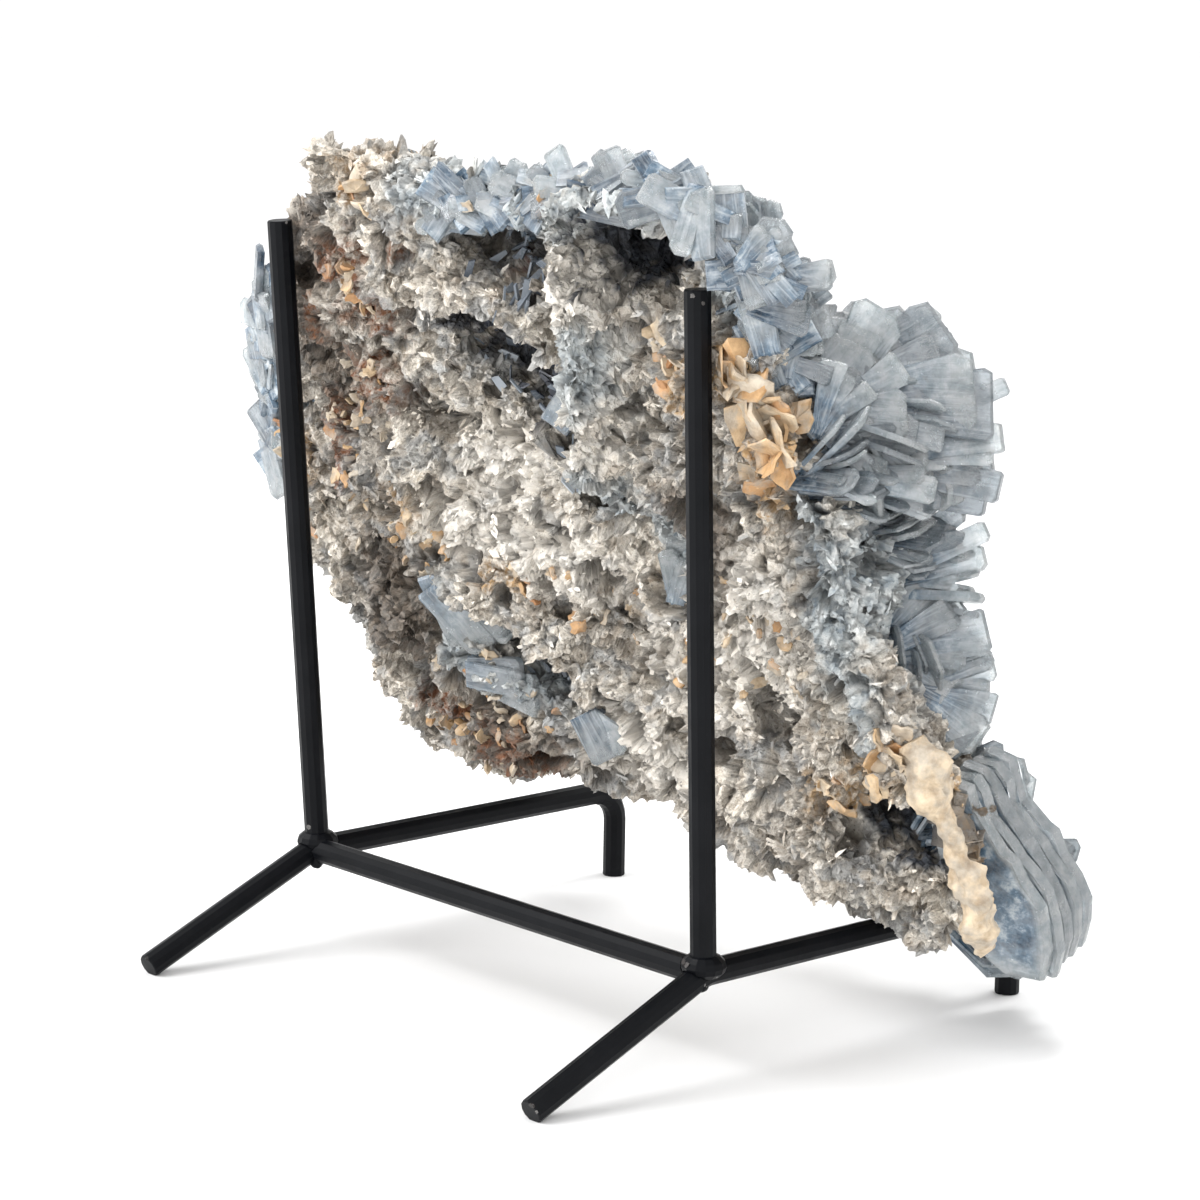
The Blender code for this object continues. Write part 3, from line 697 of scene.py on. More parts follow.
def bladed(obj):
    """Work the bundles and pits into the surface, mark their creases for painted shade, and keep it clear
    of the rods.
    """
    mesh = obj.data
    normals = [vertex.normal.copy() for vertex in mesh.vertices]
    values = {name: [] for name in ("crease_shade", "across", "along", "bundle")}
    for vertex, normal in zip(mesh.vertices, normals):
        warped = vertex.co + noise.noise_vector(vertex.co / 5.0) * 1.5
        out = noise.noise(vertex.co / 2.3) * 0.6
        # Painted shade: the rims between bundles and the pits are marked here for darkening in the colour.
        crease_shade = 0.0
        for size, step, rib in BUNDLES:
            across, along, number, rim = bundle_at(warped, normal, size)
            out += (number - 0.5) * step + across / size * step * 2.0
            out += noise.noise(Vector((across / RIB_WIDTH, along / RIB_LENGTH, number * 50.0))) * rib
            out -= rim * 0.5
            crease_shade = max(crease_shade, rim * 0.5)
        for size, whole, depth in PITS:
            pit = clamped((noise.noise(warped / size) - whole) * 5.0)
            out -= pit * depth
            crease_shade = max(crease_shade, pit)
        out += (noise.cell(vertex.co / 0.31) - 0.5) * GRIT
        vertex.co = clear_of_rods(vertex.co + normal * out)
        for name, value in (("crease_shade", crease_shade), ("across", across), ("along", along), ("bundle", number)):
            values[name].append(value)
    return values


def zone(point):
    """How much of each stain, and of the painted shade of the hollows, lies at a point of the stone."""
    x, m, v = point
    amounts = {kind: 0.0 for kind in STAIN_KINDS}
    amounts["hollow"] = 0.0
    if m > STAIN_DEPTH:
        return amounts
    wobble = noise.noise(Vector((x, v, 8.0)) / 5.0) * 0.5 + noise.noise(Vector((x, v, 1.0)) / 1.8) * 0.3
    for kind, spots in STAINS.items():
        for centre_x, centre_v, half_x, half_v in spots:
            reach = math.hypot((x - centre_x) / half_x, (v - centre_v) / half_v) + wobble
            amounts[kind] = max(amounts[kind], clamped((STAIN_EDGE - reach) * STAIN_SHARPNESS))
    amounts["hollow"] = hollow_share(x, v)[1]
    return amounts


def build_crust():
    slab = mesh_object("crust", slab_cage())
    smoothing = slab.modifiers.new("soft form", "SUBSURF")
    smoothing.levels = 2
    smoothing.render_levels = 2
    applied(slab)
    remeshed(slab, COARSE_VOXEL)
    roughened(slab)
    remeshed(slab, CRUST_VOXEL)
    values = bladed(slab)
    mesh = slab.data
    for name, amounts in values.items():
        set_attribute(mesh, name, amounts)
    # The hollow attribute carries the painted shade of the hollows.
    zones = [zone(vertex.co) for vertex in mesh.vertices]
    for kind in ("hollow", *STAIN_KINDS):
        set_attribute(mesh, kind, [amounts[kind] for amounts in zones])
    return slab


def split(obj, name, axis, limit):
    """Cut the faces beyond a limit along x, m or v off into a piece of their own."""
    beyond = obj.copy()
    beyond.data = obj.data.copy()
    beyond.name = name
    bpy.context.scene.collection.objects.link(beyond)
    for piece, keep_beyond in ((obj, False), (beyond, True)):
        bm = bmesh.new()
        bm.from_mesh(piece.data)
        gone = [face for face in bm.faces if (face.calc_center_median()[axis] > limit) != keep_beyond]
        bmesh.ops.delete(bm, geom=gone, context="FACES")
        bm.to_mesh(piece.data)
        bm.free()
    return beyond


def thinned(obj, share):
    modifier = obj.modifiers.new("fewer faces", "DECIMATE")
    modifier.ratio = share
    return applied(obj)


# Scales, blades and crystals.

BOX_CORNERS = (
    (-1, -1, -1), (1, -1, -1), (1, 1, -1), (-1, 1, -1),
    (-1, -1, 1), (1, -1, 1), (1, 1, 1), (-1, 1, 1),
)
BOX_FACES = ((0, 3, 2, 1), (4, 5, 6, 7), (0, 1, 5, 4), (1, 2, 6, 5), (2, 3, 7, 6), (3, 0, 4, 7))


def add_flake(shards, chance, place, facing, way, size, tone):
    """One small crooked scale: rim points round a raised middle, and flat behind."""
    facing = facing.normalized()
    side = facing.cross(way).normalized()
    other = side.cross(facing)
    stretch = chance.uniform(1.2, 3.6)
    corners = [place + facing * size * chance.uniform(0.0, 0.16)]
    for i in range(FLAKE_SIDES):
        angle = 2.0 * math.pi * (i + chance.uniform(-0.25, 0.25)) / FLAKE_SIDES
        reach = size * 0.38 * chance.uniform(0.6, 1.1)
        point = place + other * math.cos(angle) * reach * stretch + side * math.sin(angle) * reach
        corners.append(point - facing * chance.uniform(0.0, 0.12) * size)
    faces = [(0, 1 + i, 1 + (i + 1) % FLAKE_SIDES) for i in range(FLAKE_SIDES)]
    faces.append(tuple(range(FLAKE_SIDES, 0, -1)))
    shards.add([clear_of_rods(corner) for corner in corners], faces, tone)


def scatter_flakes(mesh, count, seed, wanted):
    """Scales on the faces that wanted() takes. Neighbours lie alike and are alike in tone."""
    chance = random.Random(seed)
    faces = [polygon for polygon in mesh.polygons if wanted(polygon)]
    shards = Shards()
    for _ in range(count):
        polygon = faces[chance.randrange(len(faces))]
        normal = polygon.normal
        place = polygon.center + normal * chance.uniform(-0.35, 0.15)
        size = FLAKE_SIZE[0] + FLAKE_SIZE[1] * chance.random() ** 4
        facing = normal + any_way(chance) * 0.6
        way = noise.noise_vector(place / 12.0) + Vector((0.01, 0.0, 0.02))
        tone = 0.5 + noise.noise(place / 4.0) * 0.5 + chance.uniform(-0.18, 0.18)
        add_flake(shards, chance, place, facing, way, size, clamped(tone))
    return shards


def add_lath(shards, chance, root, growth, normal, length, width, thickness, tone):
    """One slim blade with a slanted end, half sunk into the crust."""
    growth = growth.normalized()
    across = growth.cross(normal).normalized()
    up = across.cross(growth)
    taper = chance.uniform(0.4, 0.9)
    slant = chance.uniform(-0.3, 0.3) * width
    corners = []
    for x, y, z in BOX_CORNERS:
        wide = width * (taper if z > 0 else 1.0)
        along = length * (z * 0.5 + 0.5) + (slant * x if z > 0 else 0.0)
        corners.append(root + across * x * wide * 0.5 + up * y * thickness * 0.5 + growth * along)
    reaches = [0.0] * 4 + [1.0] * 4
    shards.add([clear_of_rods(corner) for corner in corners], BOX_FACES, tone, reaches)


def scatter_rosettes(mesh, count, seed, wanted):
    """Small fans of laths on the faces that wanted() takes, each spread low over the surface."""
    chance = random.Random(seed)
    faces = [polygon for polygon in mesh.polygons if wanted(polygon)]
    shards = Shards()
    for _ in range(count):
        polygon = faces[chance.randrange(len(faces))]
        normal = polygon.normal
        side = normal.orthogonal().normalized()
        side = Matrix.Rotation(chance.uniform(0.0, 2.0 * math.pi), 3, normal) @ side
        opening = math.radians(chance.uniform(30.0, 150.0))
        length = chance.uniform(2.5, 6.0)
        tone = chance.uniform(0.35, 0.75)
        for _ in range(chance.randrange(9, 26)):
            angle = chance.uniform(-0.5, 0.5) * opening
            growth = Matrix.Rotation(angle, 3, normal) @ side
            growth = growth + normal * chance.uniform(-0.12, 0.28)
            root = polygon.center - normal * chance.uniform(0.1, 0.9)
            root += Matrix.Rotation(angle, 3, normal) @ side * chance.uniform(-1.0, 1.5)
            face = normal + any_way(chance) * 0.6
            reach = length * chance.uniform(0.5, 1.0)
            width = chance.uniform(0.4, 1.3)
            thickness = chance.uniform(0.25, 0.6)
            own_tone = tone + chance.uniform(-0.15, 0.15)
            add_lath(shards, chance, root, growth, face, reach, width, thickness, own_tone)
    return shards


def add_plate(
    shards, chance, root, growth, flat, length, width, thickness, chamfer=TIP_CHAMFER, flare=1.0, start=0.0
):
    """One tabular crystal: a plate with its outer corners cut off, bevelled, and streaked lengthways."""
    growth = growth.normalized()
    across = growth.cross(flat).normalized()
    flat = across.cross(growth)
    cut = width * chamfer
    lean = width * chance.uniform(-0.08, 0.08)
    foot = width * flare
    outline = (
        (-0.5 * foot, 0.0),
        (0.5 * foot, 0.0),
        (0.5 * width + lean, length - cut),
        (0.5 * width - cut + lean, length),
        (-0.5 * width + cut * chance.uniform(0.4, 1.0) + lean, length),
        (-0.5 * width + lean, length - cut * chance.uniform(0.5, 1.5)),
    )
    bevel = min(thickness * 0.35, width * 0.12)
    middle = Vector((0.0, length * 0.5))
    corners = []
    reaches = []
    streaks = []
    for layer, inset in ((-0.5, bevel), (0.0, 0.0), (0.5, bevel)):
        for a, b in outline:
            point = Vector((a, b))
            point -= (point - middle).normalized() * inset
            corners.append(root + across * point.x + growth * point.y + flat * layer * thickness)
            share = clamped(b / length)
            reaches.append(start + (1.0 - start) * share)
            streaks.append(a / (flare + (1.0 - flare) * share))
    sides = len(outline)
    faces = [tuple(reversed(range(sides))), tuple(range(2 * sides, 3 * sides)), *ring_faces(3, sides)]
    shards.add(corners, faces, chance.random(), reaches, streaks)


def build_crystals():
    """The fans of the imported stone, each tablet as thin plates in a stack and slimmer ones beside it."""
    chance = random.Random(SEEDS["fans"])
    spare = random.Random(SEEDS["stacked_plates"])
    shards = Shards()
    for root, middle, opening_axis, opening, count, length, width, thickness in FANS:
        axis = as_place(opening_axis).normalized()
        middle = as_place(middle).normalized()
        axis = (axis - middle * axis.dot(middle)).normalized()
        for i in range(count):
            share = i / (count - 1) - 0.5
            angle = math.radians(share * opening + chance.uniform(-ANGLE_SPREAD, ANGLE_SPREAD))
            growth = Matrix.Rotation(angle, 3, axis) @ middle
            tilt = math.radians(chance.uniform(-TILT_SPREAD, TILT_SPREAD))
            growth = Matrix.Rotation(tilt, 3, axis.cross(middle)) @ growth
            flat = growth.cross(axis)
            turn = math.radians(chance.uniform(-TURN_SPREAD, TURN_SPREAD))
            flat = Matrix.Rotation(turn, 3, growth) @ flat
            long = length * (1.0 + chance.uniform(-LENGTH_SPREAD, LENGTH_SPREAD))
            wide = width * (1.0 + chance.uniform(-WIDTH_SPREAD, WIDTH_SPREAD))
            start = as_place(root) + axis * chance.uniform(-ROOT_SPREAD, ROOT_SPREAD)
            across = growth.cross(flat).normalized()
            flat.normalize()
            for layer in range(STACK):
                side = start + flat * (layer / (STACK - 1) - 0.5) * thickness * 0.8
                side += across * spare.uniform(-0.12, 0.12) * width
                bent = growth + across * spare.uniform(-0.07, 0.07) + flat * spare.uniform(-0.05, 0.05)
                reach = long * spare.uniform(0.78, 1.0)
                broad = wide * spare.uniform(0.6, 1.0)
                thin = thickness * spare.uniform(0.3, 0.5)
                add_plate(shards, spare, side, bent, flat, reach, broad, thin)
            for _ in range(EXTRA_PLATES):
                side = start + across * spare.uniform(-0.4, 0.4) * width
                side += flat * spare.uniform(-1.2, 1.2) * thickness
                bent = growth + across * spare.uniform(-0.2, 0.2) + flat * spare.uniform(-0.14, 0.14)
                reach = long * spare.uniform(0.6, 0.98)
                broad = wide * spare.uniform(0.2, 0.5)
                thin = thickness * spare.uniform(0.2, 0.4)
                add_plate(shards, spare, side, bent, flat, reach, broad, thin)
    return shards


def build_sheets(table, seed, start_reach):
    """The hand-shaped fans: overlapping thin blades side by side, like a spread hand of cards."""
    chance = random.Random(seed)
    shards = Shards()
    for root, middle, facing, opening, count, length, width, thickness, flare in table:
        middle = as_place(middle).normalized()
        facing = as_place(facing).normalized()
        facing = (facing - middle * facing.dot(middle)).normalized()
        for i in range(count):
            share = i / (count - 1) - 0.5
            angle = math.radians(share * opening + chance.uniform(-5.0, 5.0))
            growth = Matrix.Rotation(angle, 3, facing) @ middle
            growth += facing * chance.uniform(-0.12, 0.12)
            flat = facing + any_way(chance) * (1.6 / width)
            start = as_place(root) + facing * chance.uniform(-1.5, 3.5) + growth * chance.uniform(-2.0, 1.0)
            add_plate(
                shards,
                chance,
                start,
                growth,
                flat,
                length * chance.uniform(0.72, 1.05),
                width * chance.uniform(0.6, 1.3),
                thickness * chance.uniform(0.7, 1.4),
                chance.uniform(0.06, 0.24),
                flare,
                start_reach,
            )
    return shards


def add_jumbles(shards):
    """Plates thrown along an edge, flat against it and half sunk into it."""
    chance = random.Random(SEEDS["jumbles"])
    for line, count, length, width, facing in JUMBLES:
        line = [as_place(point) for point in line]
        facing = as_place(facing).normalized()
        for _ in range(count):
            reach = chance.random() * (len(line) - 1)
            i = min(int(reach), len(line) - 2)
            run = line[i + 1] - line[i]
            place = line[i] + run * (reach - i)
            along = (run - facing * run.dot(facing)).normalized()
            turn = math.radians(chance.uniform(-JUMBLE_SPREAD, JUMBLE_SPREAD))
            growth = Matrix.Rotation(turn, 3, facing) @ along * chance.choice((-1.0, 1.0))
            sway = any_way(chance)
            long = length * chance.uniform(0.4, 1.4)
            root = place - growth * long * 0.5 + facing * chance.uniform(*JUMBLE_DEPTH)
            root += facing.cross(along) * chance.uniform(-JUMBLE_STRAY, JUMBLE_STRAY)
            add_plate(
                shards,
                chance,
                root,
                growth + facing * chance.uniform(-0.1, 0.1),
                facing + sway * 0.45,
                long,
                width * chance.uniform(0.5, 1.2),
                chance.uniform(1.0, 2.2),
                chance.uniform(0.06, 0.3),
                chance.uniform(0.7, 1.0),
                chance.uniform(0.15, 0.6),
            )


def add_lobe(shards):
    """Broad plates stacked one before another, darker in the middle and clear at their stepped rims."""
    chance = random.Random(SEEDS["lobe"])
    for layer in range(LOBE_PLATES):
        tone = chance.uniform(0.2, 0.9)
        rim = []
        for point in LOBE:
            shift = Vector((chance.uniform(-1, 1), 0.0, chance.uniform(-1, 1))) * LOBE_RAGGED
            rim.append(as_place(point) + shift - Vector((0.0, layer * LOBE_STEP, 0.0)))
        middle = sum(rim, Vector()) / len(rim)
        sides = len(rim)
        corners = []
        reaches = []
        for depth, shares in LOBE_RINGS:
            offset = LOBE_STEP * depth
            for share in shares:
                for point in rim:
                    rise = noise.noise(point * share / 7.0 + Vector((layer * 9.0, 0.0, 0.0))) * 0.5
                    corners.append(middle + (point - middle) * share + Vector((0.0, offset + rise, 0.0)))
                    reaches.append(share ** 3)
        rings = len(corners) // sides
        corners += [middle, middle + Vector((0.0, offset, 0.0))]
        reaches += [0.0, 0.0]
        faces = ring_faces(rings, sides)
        last = (rings - 1) * sides
        for i in range(sides):
            j = (i + 1) % sides
            faces.append((len(corners) - 2, j, i))
            faces.append((len(corners) - 1, last + i, last + j))
        streaks = [(corner - middle).x / 12.0 for corner in corners]
        shards.add(corners, faces, tone, reaches, streaks)


def build_blades(find):
    """Slim blades that line the hollows, side by side like fibres."""
    chance = random.Random(SEEDS["blades"])
    shards = Shards()
    for middle, reach, count, lengths, way in BLADES:
        for _ in range(count):
            x, v = spot_in(chance, middle, reach)
            depth = hollow_depth(x, v)
            if depth < 1.0:
                continue
            place, normal = find(x, v)
            if place is None:
                continue
            root = place - normal * chance.uniform(0.0, 0.6)
            growth = as_place(way) + noise.noise_vector(root / 14.0) * 1.2
            growth -= normal * growth.dot(normal)
            growth += any_way(chance) * 0.08
            tone = 0.5 + noise.noise(root / 3.0) * 0.5 + chance.uniform(-0.25, 0.25)
            length = min(chance.uniform(*lengths), depth + 3.0)
            width = chance.uniform(0.8, 2.2)
            thickness = chance.uniform(0.3, 0.6)
            add_lath(shards, chance, root, growth, normal, length, width, thickness, clamped(tone))
    return shards


def add_petal(shards, chance, place, facing, size, tone):
    """A thin crooked flake, bowed and rippled, with a ragged rim."""
    facing = facing.normalized()
    side = facing.orthogonal().normalized()
    side = Matrix.Rotation(chance.uniform(0.0, 2.0 * math.pi), 3, facing) @ side
    other = facing.cross(side)
    bow = chance.uniform(-0.2, 0.5) * size
    lobes = chance.randrange(2, 5)
    start = chance.uniform(0.0, 6.28)
    rims = []
    for share in (0.5, 1.0):
        for i in range(PETAL_SIDES):
            angle = 2.0 * math.pi * i / PETAL_SIDES
            ragged = 1.0 + 0.18 * math.sin(lobes * angle + start) + chance.uniform(-0.1, 0.1)
            reach = size * 0.5 * share * ragged
            point = place + side * math.cos(angle) * reach + other * math.sin(angle) * reach * 0.72
            ripple = size * 0.07 * math.sin((lobes + 1) * angle - start) * share
            rims.append(point + facing * (ripple - bow * share * share * 0.5))
    thick = facing * chance.uniform(0.4, 0.8)
    corners = [place] + rims + [point - thick for point in rims[PETAL_SIDES:]]
    faces = []
    for i in range(PETAL_SIDES):
        j = (i + 1) % PETAL_SIDES
        faces.append((0, 1 + i, 1 + j))
        for low in (1, 1 + PETAL_SIDES):
            faces.append((low + i, low + PETAL_SIDES + i, low + PETAL_SIDES + j, low + j))
    faces.append(tuple(range(3 * PETAL_SIDES, 2 * PETAL_SIDES, -1)))
    shards.add([clear_of_rods(corner) for corner in corners], faces, tone)


def add_ridge(shards):
    """The ridge as one lumpy cord of tan crust, flattened against the stone."""
    line = []
    for start, end in zip(RIDGE, RIDGE[1:]):
        for step in range(RIDGE_STEPS):
            line.append([a + (b - a) * step / RIDGE_STEPS for a, b in zip(start, end)])
    corners = []
    for x, v, m, half_width in line:
        for i in range(RIDGE_SIDES):
            angle = 2.0 * math.pi * i / RIDGE_SIDES
            across = math.cos(angle)
            around = Vector((across * half_width, math.sin(angle) * half_width * 0.9, across * 1.5))
            point = Vector((x, m, v)) + around
            lump = noise.noise(point / 5.0) * 0.7 + noise.noise(point / 1.6) * 0.25
            corners.append(clear_of_rods(point + around * lump))
    faces = ring_faces(len(line), RIDGE_SIDES)
    faces.append(tuple(range(RIDGE_SIDES - 1, -1, -1)))
    faces.append(tuple(range(len(corners) - RIDGE_SIDES, len(corners))))
    shards.add(corners, faces, 0.75)


def surface_finder(obj):
    """A function from x and v to the back face's place and normal there, by a ray from behind."""
    obj.data.calc_loop_triangles()
    tree = BVHTree.FromPolygons(
        [vertex.co for vertex in obj.data.vertices],
        [tuple(triangle.vertices) for triangle in obj.data.loop_triangles],
    )

    def find(x, v):
        place, normal, _, _ = tree.ray_cast(Vector((x, -60.0, v)), Vector((0.0, 1.0, 0.0)))
        return (place, normal) if place and place.y < 30.0 else (None, None)

    return find


def build_petals(find):
    chance = random.Random(SEEDS["petals"])
    shards = Shards()
    for middle, reach, count, size in PETALS:
        for _ in range(count):
            x, v = spot_in(chance, middle, reach)
            place, normal = find(x, v)
            if place is None or place.y > PETAL_DEPTH or hollow_depth(x, v) > PETAL_HOLLOW:
                continue
            facing = normal + any_way(chance) * 0.6
            own_size = size * chance.uniform(0.45, 1.1)
            add_petal(shards, chance, place + normal * 0.12 * own_size, facing, own_size, chance.random())
    add_ridge(shards)
    return shards


# The stand.


def build_scuffs():
    """Chips of bare steel that lie on the rods, each turned like the paint under it."""
    chance = random.Random(SEEDS["scuffs"])
    corners = []
    faces = []
    for name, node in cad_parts.items():
        if name == "barite":
            continue
        start = len(corners)
        corners.extend(vertex.co.copy() for vertex in node.data.vertices)
        faces.extend(tuple(start + i for i in polygon.vertices) for polygon in node.data.polygons)
    tree = BVHTree.FromPolygons(corners, faces)
    bm = bmesh.new()
    shades = []
    for x, y, z, size, shade in SCUFFS:
        place, normal, _, _ = tree.find_nearest(SHIFT + Vector((x, y, z)) * MM)
        side = normal.orthogonal().normalized()
        other = normal.cross(side)
        rim = []
        for layer in (0.06, -0.2):
            for i in range(SCUFF_SIDES):
                angle = 2.0 * math.pi * i / SCUFF_SIDES
                reach = size * 0.36 * MM * chance.uniform(0.5, 1.2)
                point = place + (side * math.cos(angle) + other * math.sin(angle)) * reach
                rim.append(bm.verts.new(point + normal * layer * MM))
        bm.faces.new(rim[:SCUFF_SIDES])
        bm.faces.new(list(reversed(rim[SCUFF_SIDES:])))
        for first, *others in ring_faces(2, SCUFF_SIDES):
            bm.faces.new([rim[i] for i in (first, *reversed(others))])
        shades.extend([shade] * len(rim))
    bmesh.ops.recalc_face_normals(bm, faces=bm.faces)
    scuffs = mesh_object("scuffs", bm)
    set_attribute(scuffs.data, "shade", shades)
    scuffs.data.materials.append(scuff_material())
    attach(scuffs, "root")


def build_weld_drops(paint):
    bm = bmesh.new()
    for x, y, z, radius in WELD_DROPS:
        place = Matrix.Translation(SHIFT + Vector((x, y, z)) * MM)
        drop = bmesh.ops.create_uvsphere(bm, u_segments=18, v_segments=12, radius=radius * MM, matrix=place)
        for vertex in drop["verts"]:
            vertex.co += noise.noise_vector(vertex.co / MM / 1.6) * 0.3 * MM
    drops = mesh_object("weld_drops", bm)
    drops.data.shade_smooth()
    drops.data.materials.append(paint)
    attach(drops, "root")


# Materials.


def new_material(name):
    material = bpy.data.materials.new(name)
    material.use_nodes = True
    return material, Nodes(material.node_tree), material.node_tree.nodes["Principled BSDF"]


class Nodes:
    """Short hands for the nodes that the materials are made of."""

    def __init__(self, tree):
        self.tree = tree
        self.place = self.new("ShaderNodeTexCoord").outputs["Object"]

    def new(self, kind, **settings):
        node = self.tree.nodes.new(kind)
        for name, value in settings.items():
            setattr(node, name, value)
        return node

    def link(self, output, socket):
        if isinstance(output, (int, float)):
            socket.default_value = output
        elif isinstance(output, tuple):
            socket.default_value = (*output, 1.0)
        else:
            self.tree.links.new(output, socket)

    def noise(self, size, detail=4.0, roughness=0.6):
        """Soft noise with features of that size in millimetres."""
        node = self.new("ShaderNodeTexNoise")
        self.link(self.place, node.inputs["Vector"])
        node.inputs["Scale"].default_value = 1.0 / (size * MM)
        node.inputs["Detail"].default_value = detail
        node.inputs["Roughness"].default_value = roughness
        return node.outputs["Fac"]

    def cracks(self, size):
        """Distance to the edges of cells of that size in millimetres."""
        node = self.new("ShaderNodeTexVoronoi", feature="DISTANCE_TO_EDGE")
        self.link(self.place, node.inputs["Vector"])
        node.inputs["Scale"].default_value = 1.0 / (size * MM)
        return node.outputs["Distance"]

    def attribute(self, name):
        return self.new("ShaderNodeAttribute", attribute_name=name).outputs["Fac"]

    def ramp(self, value, *stops):
        """A value turned into colours: stops are position and colour or grey."""
        node = self.new("ShaderNodeValToRGB")
        self.link(value, node.inputs["Fac"])
        elements = node.color_ramp.elements
        while len(elements) < len(stops):
            elements.new(0.5)
        for element, (position, colour) in zip(elements, stops):
            element.position = position
            if isinstance(colour, (int, float)):
                colour = (colour, colour, colour)
            element.color = (*colour, 1.0)
        return node.outputs["Color"]

    def mix(self, amount, first, second, blend="MIX"):
        node = self.new("ShaderNodeMix", data_type="RGBA", blend_type=blend)
        self.link(amount, node.inputs["Factor"])
        self.link(first, node.inputs[6])
        self.link(second, node.inputs[7])
        return node.outputs[2]

    def times(self, first, second):
        return self.mix(1.0, first, second, "MULTIPLY")

    def tint(self, colour, value, strength, target):
        """A colour drawn towards another one by a value times a strength."""
        return self.mix(self.math("MULTIPLY", value, strength), colour, target)

    def math(self, operation, first, second, third=0.0):
        node = self.new("ShaderNodeMath", operation=operation)
        for value, socket in zip((first, second, third), node.inputs):
            self.link(value, socket)
        return node.outputs[0]

    def fibres(self, across, along, number, scale):
        """Noise drawn out along a blade, different for each number."""
        place = self.new("ShaderNodeCombineXYZ")
        for value, socket in zip((across, along, number), place.inputs):
            self.link(value, socket)
        node = self.new("ShaderNodeTexNoise")
        self.link(place.outputs["Vector"], node.inputs["Vector"])
        node.inputs["Scale"].default_value = scale
        node.inputs["Detail"].default_value = 5.0
        return node.outputs["Fac"]

    def bump(self, height, distance, strength=1.0, after=None):
        node = self.new("ShaderNodeBump")
        self.link(height, node.inputs["Height"])
        node.inputs["Distance"].default_value = distance * MM
        node.inputs["Strength"].default_value = strength
        if after is not None:
            self.link(after, node.inputs["Normal"])
        return node.outputs["Normal"]


def stained(n, colour):
    """The stains of the stone and the painted shade of its hollows over a colour."""
    speckled = n.ramp(n.noise(2.4, 3.0), (0.42, 0.15), (0.6, 1.0))
    brown = n.mix(speckled, (0.045, 0.036, 0.027), (0.235, 0.18, 0.135))
    # Painted shade of the hollows: near-black blue-grey laid over the crust where a hollow lies.
    deep = n.ramp(n.noise(3.0), (0.35, (0.006, 0.009, 0.015)), (0.7, (0.055, 0.068, 0.092)))
    grey = n.ramp(
        n.noise(3.2, 5.0),
        (0.35, (0.20, 0.26, 0.31)),
        (0.5, (0.46, 0.51, 0.53)),
        (0.66, (0.80, 0.83, 0.83)),
    )
    for kind, strength, target in (
        ("pale", 0.78, (0.93, 0.88, 0.80)),
        ("dark", 0.8, brown),
        ("ochre", speckled, (0.52, 0.34, 0.17)),
        ("rust", speckled, (0.23, 0.09, 0.035)),
        ("glass", 0.8, grey),
        ("hollow", 0.97, deep),
    ):
        colour = n.tint(colour, n.attribute(kind), strength, target)
    return colour


def crust_colours(n, tone):
    """Sugary crust from a tone: brown and blue greys, cream and white, its stains and the painted shade of
    its hollows.
    """
    colour = n.ramp(
        tone,
        (0.0, (0.20, 0.17, 0.135)),
        (0.3, (0.52, 0.475, 0.42)),
        (0.55, (0.71, 0.675, 0.625)),
        (0.78, (0.85, 0.81, 0.75)),
        (1.0, (0.94, 0.915, 0.87)),
    )
    wide = n.ramp(n.noise(22.0, 5.0), (0.35, (0.80, 0.79, 0.78)), (0.65, (1.16, 1.15, 1.12)))
    colour = n.times(colour, wide)
    fine = n.ramp(n.noise(0.55, 6.0, 0.8), (0.34, (0.62, 0.59, 0.55)), (0.55, (1.18, 1.17, 1.15)))
    colour = n.times(colour, fine)
    cool = n.ramp(n.noise(9.0, 3.0), (0.48, 0.0), (0.6, 1.0))
    colour = n.tint(colour, cool, 0.55, (0.24, 0.275, 0.31))
    warm = n.ramp(n.noise(6.0, 4.0), (0.52, 0.0), (0.66, 1.0))
    colour = n.tint(colour, warm, 0.5, (0.46, 0.37, 0.27))
    return stained(n, colour)


def crust_material():
    material, n, shader = new_material("sugary_crust")
    across = n.math("MULTIPLY", n.attribute("across"), 1.3)
    along = n.math("MULTIPLY", n.attribute("along"), 0.22)
    fibre = n.fibres(across, along, n.math("MULTIPLY", n.attribute("bundle"), 50.0), 1.0)
    tone = n.math("MULTIPLY_ADD", fibre, 1.3, -0.22)
    tone = n.math("ADD", tone, n.math("MULTIPLY_ADD", n.noise(0.9, 3.0), 1.0, -0.5))
    tone = n.math("ADD", tone, n.math("MULTIPLY_ADD", n.attribute("bundle"), 0.4, -0.1))
    colour = crust_colours(n, tone)
    # Painted shade: dark spots from noise stand in for the shade of tiny pits.
    pits = n.ramp(n.noise(1.9, 2.0), (0.30, 1.0), (0.37, 0.0))
    colour = n.tint(colour, pits, 0.65, (0.03, 0.024, 0.018))
    # Painted shade in the creases between bundles and in the pits.
    colour = n.tint(colour, n.attribute("crease_shade"), 0.6, (0.035, 0.029, 0.024))
    n.link(colour, shader.inputs["Base Color"])
    n.link(n.ramp(n.noise(0.9, 3.0), (0.3, 0.25), (0.7, 0.75)), shader.inputs["Roughness"])
    ribbed = n.bump(fibre, 0.9, 0.8)
    n.link(n.bump(n.noise(0.6, 7.0, 0.75), 0.5, 0.9, ribbed), shader.inputs["Normal"])
    return material


def scale_material():
    material, n, shader = new_material("crust_scales")
    n.link(crust_colours(n, n.attribute("tone")), shader.inputs["Base Color"])
    n.link(n.ramp(n.noise(0.8), (0.3, 0.18), (0.7, 0.6)), shader.inputs["Roughness"])
    n.link(n.bump(n.noise(0.5), 0.15, 0.6), shader.inputs["Normal"])
    return material


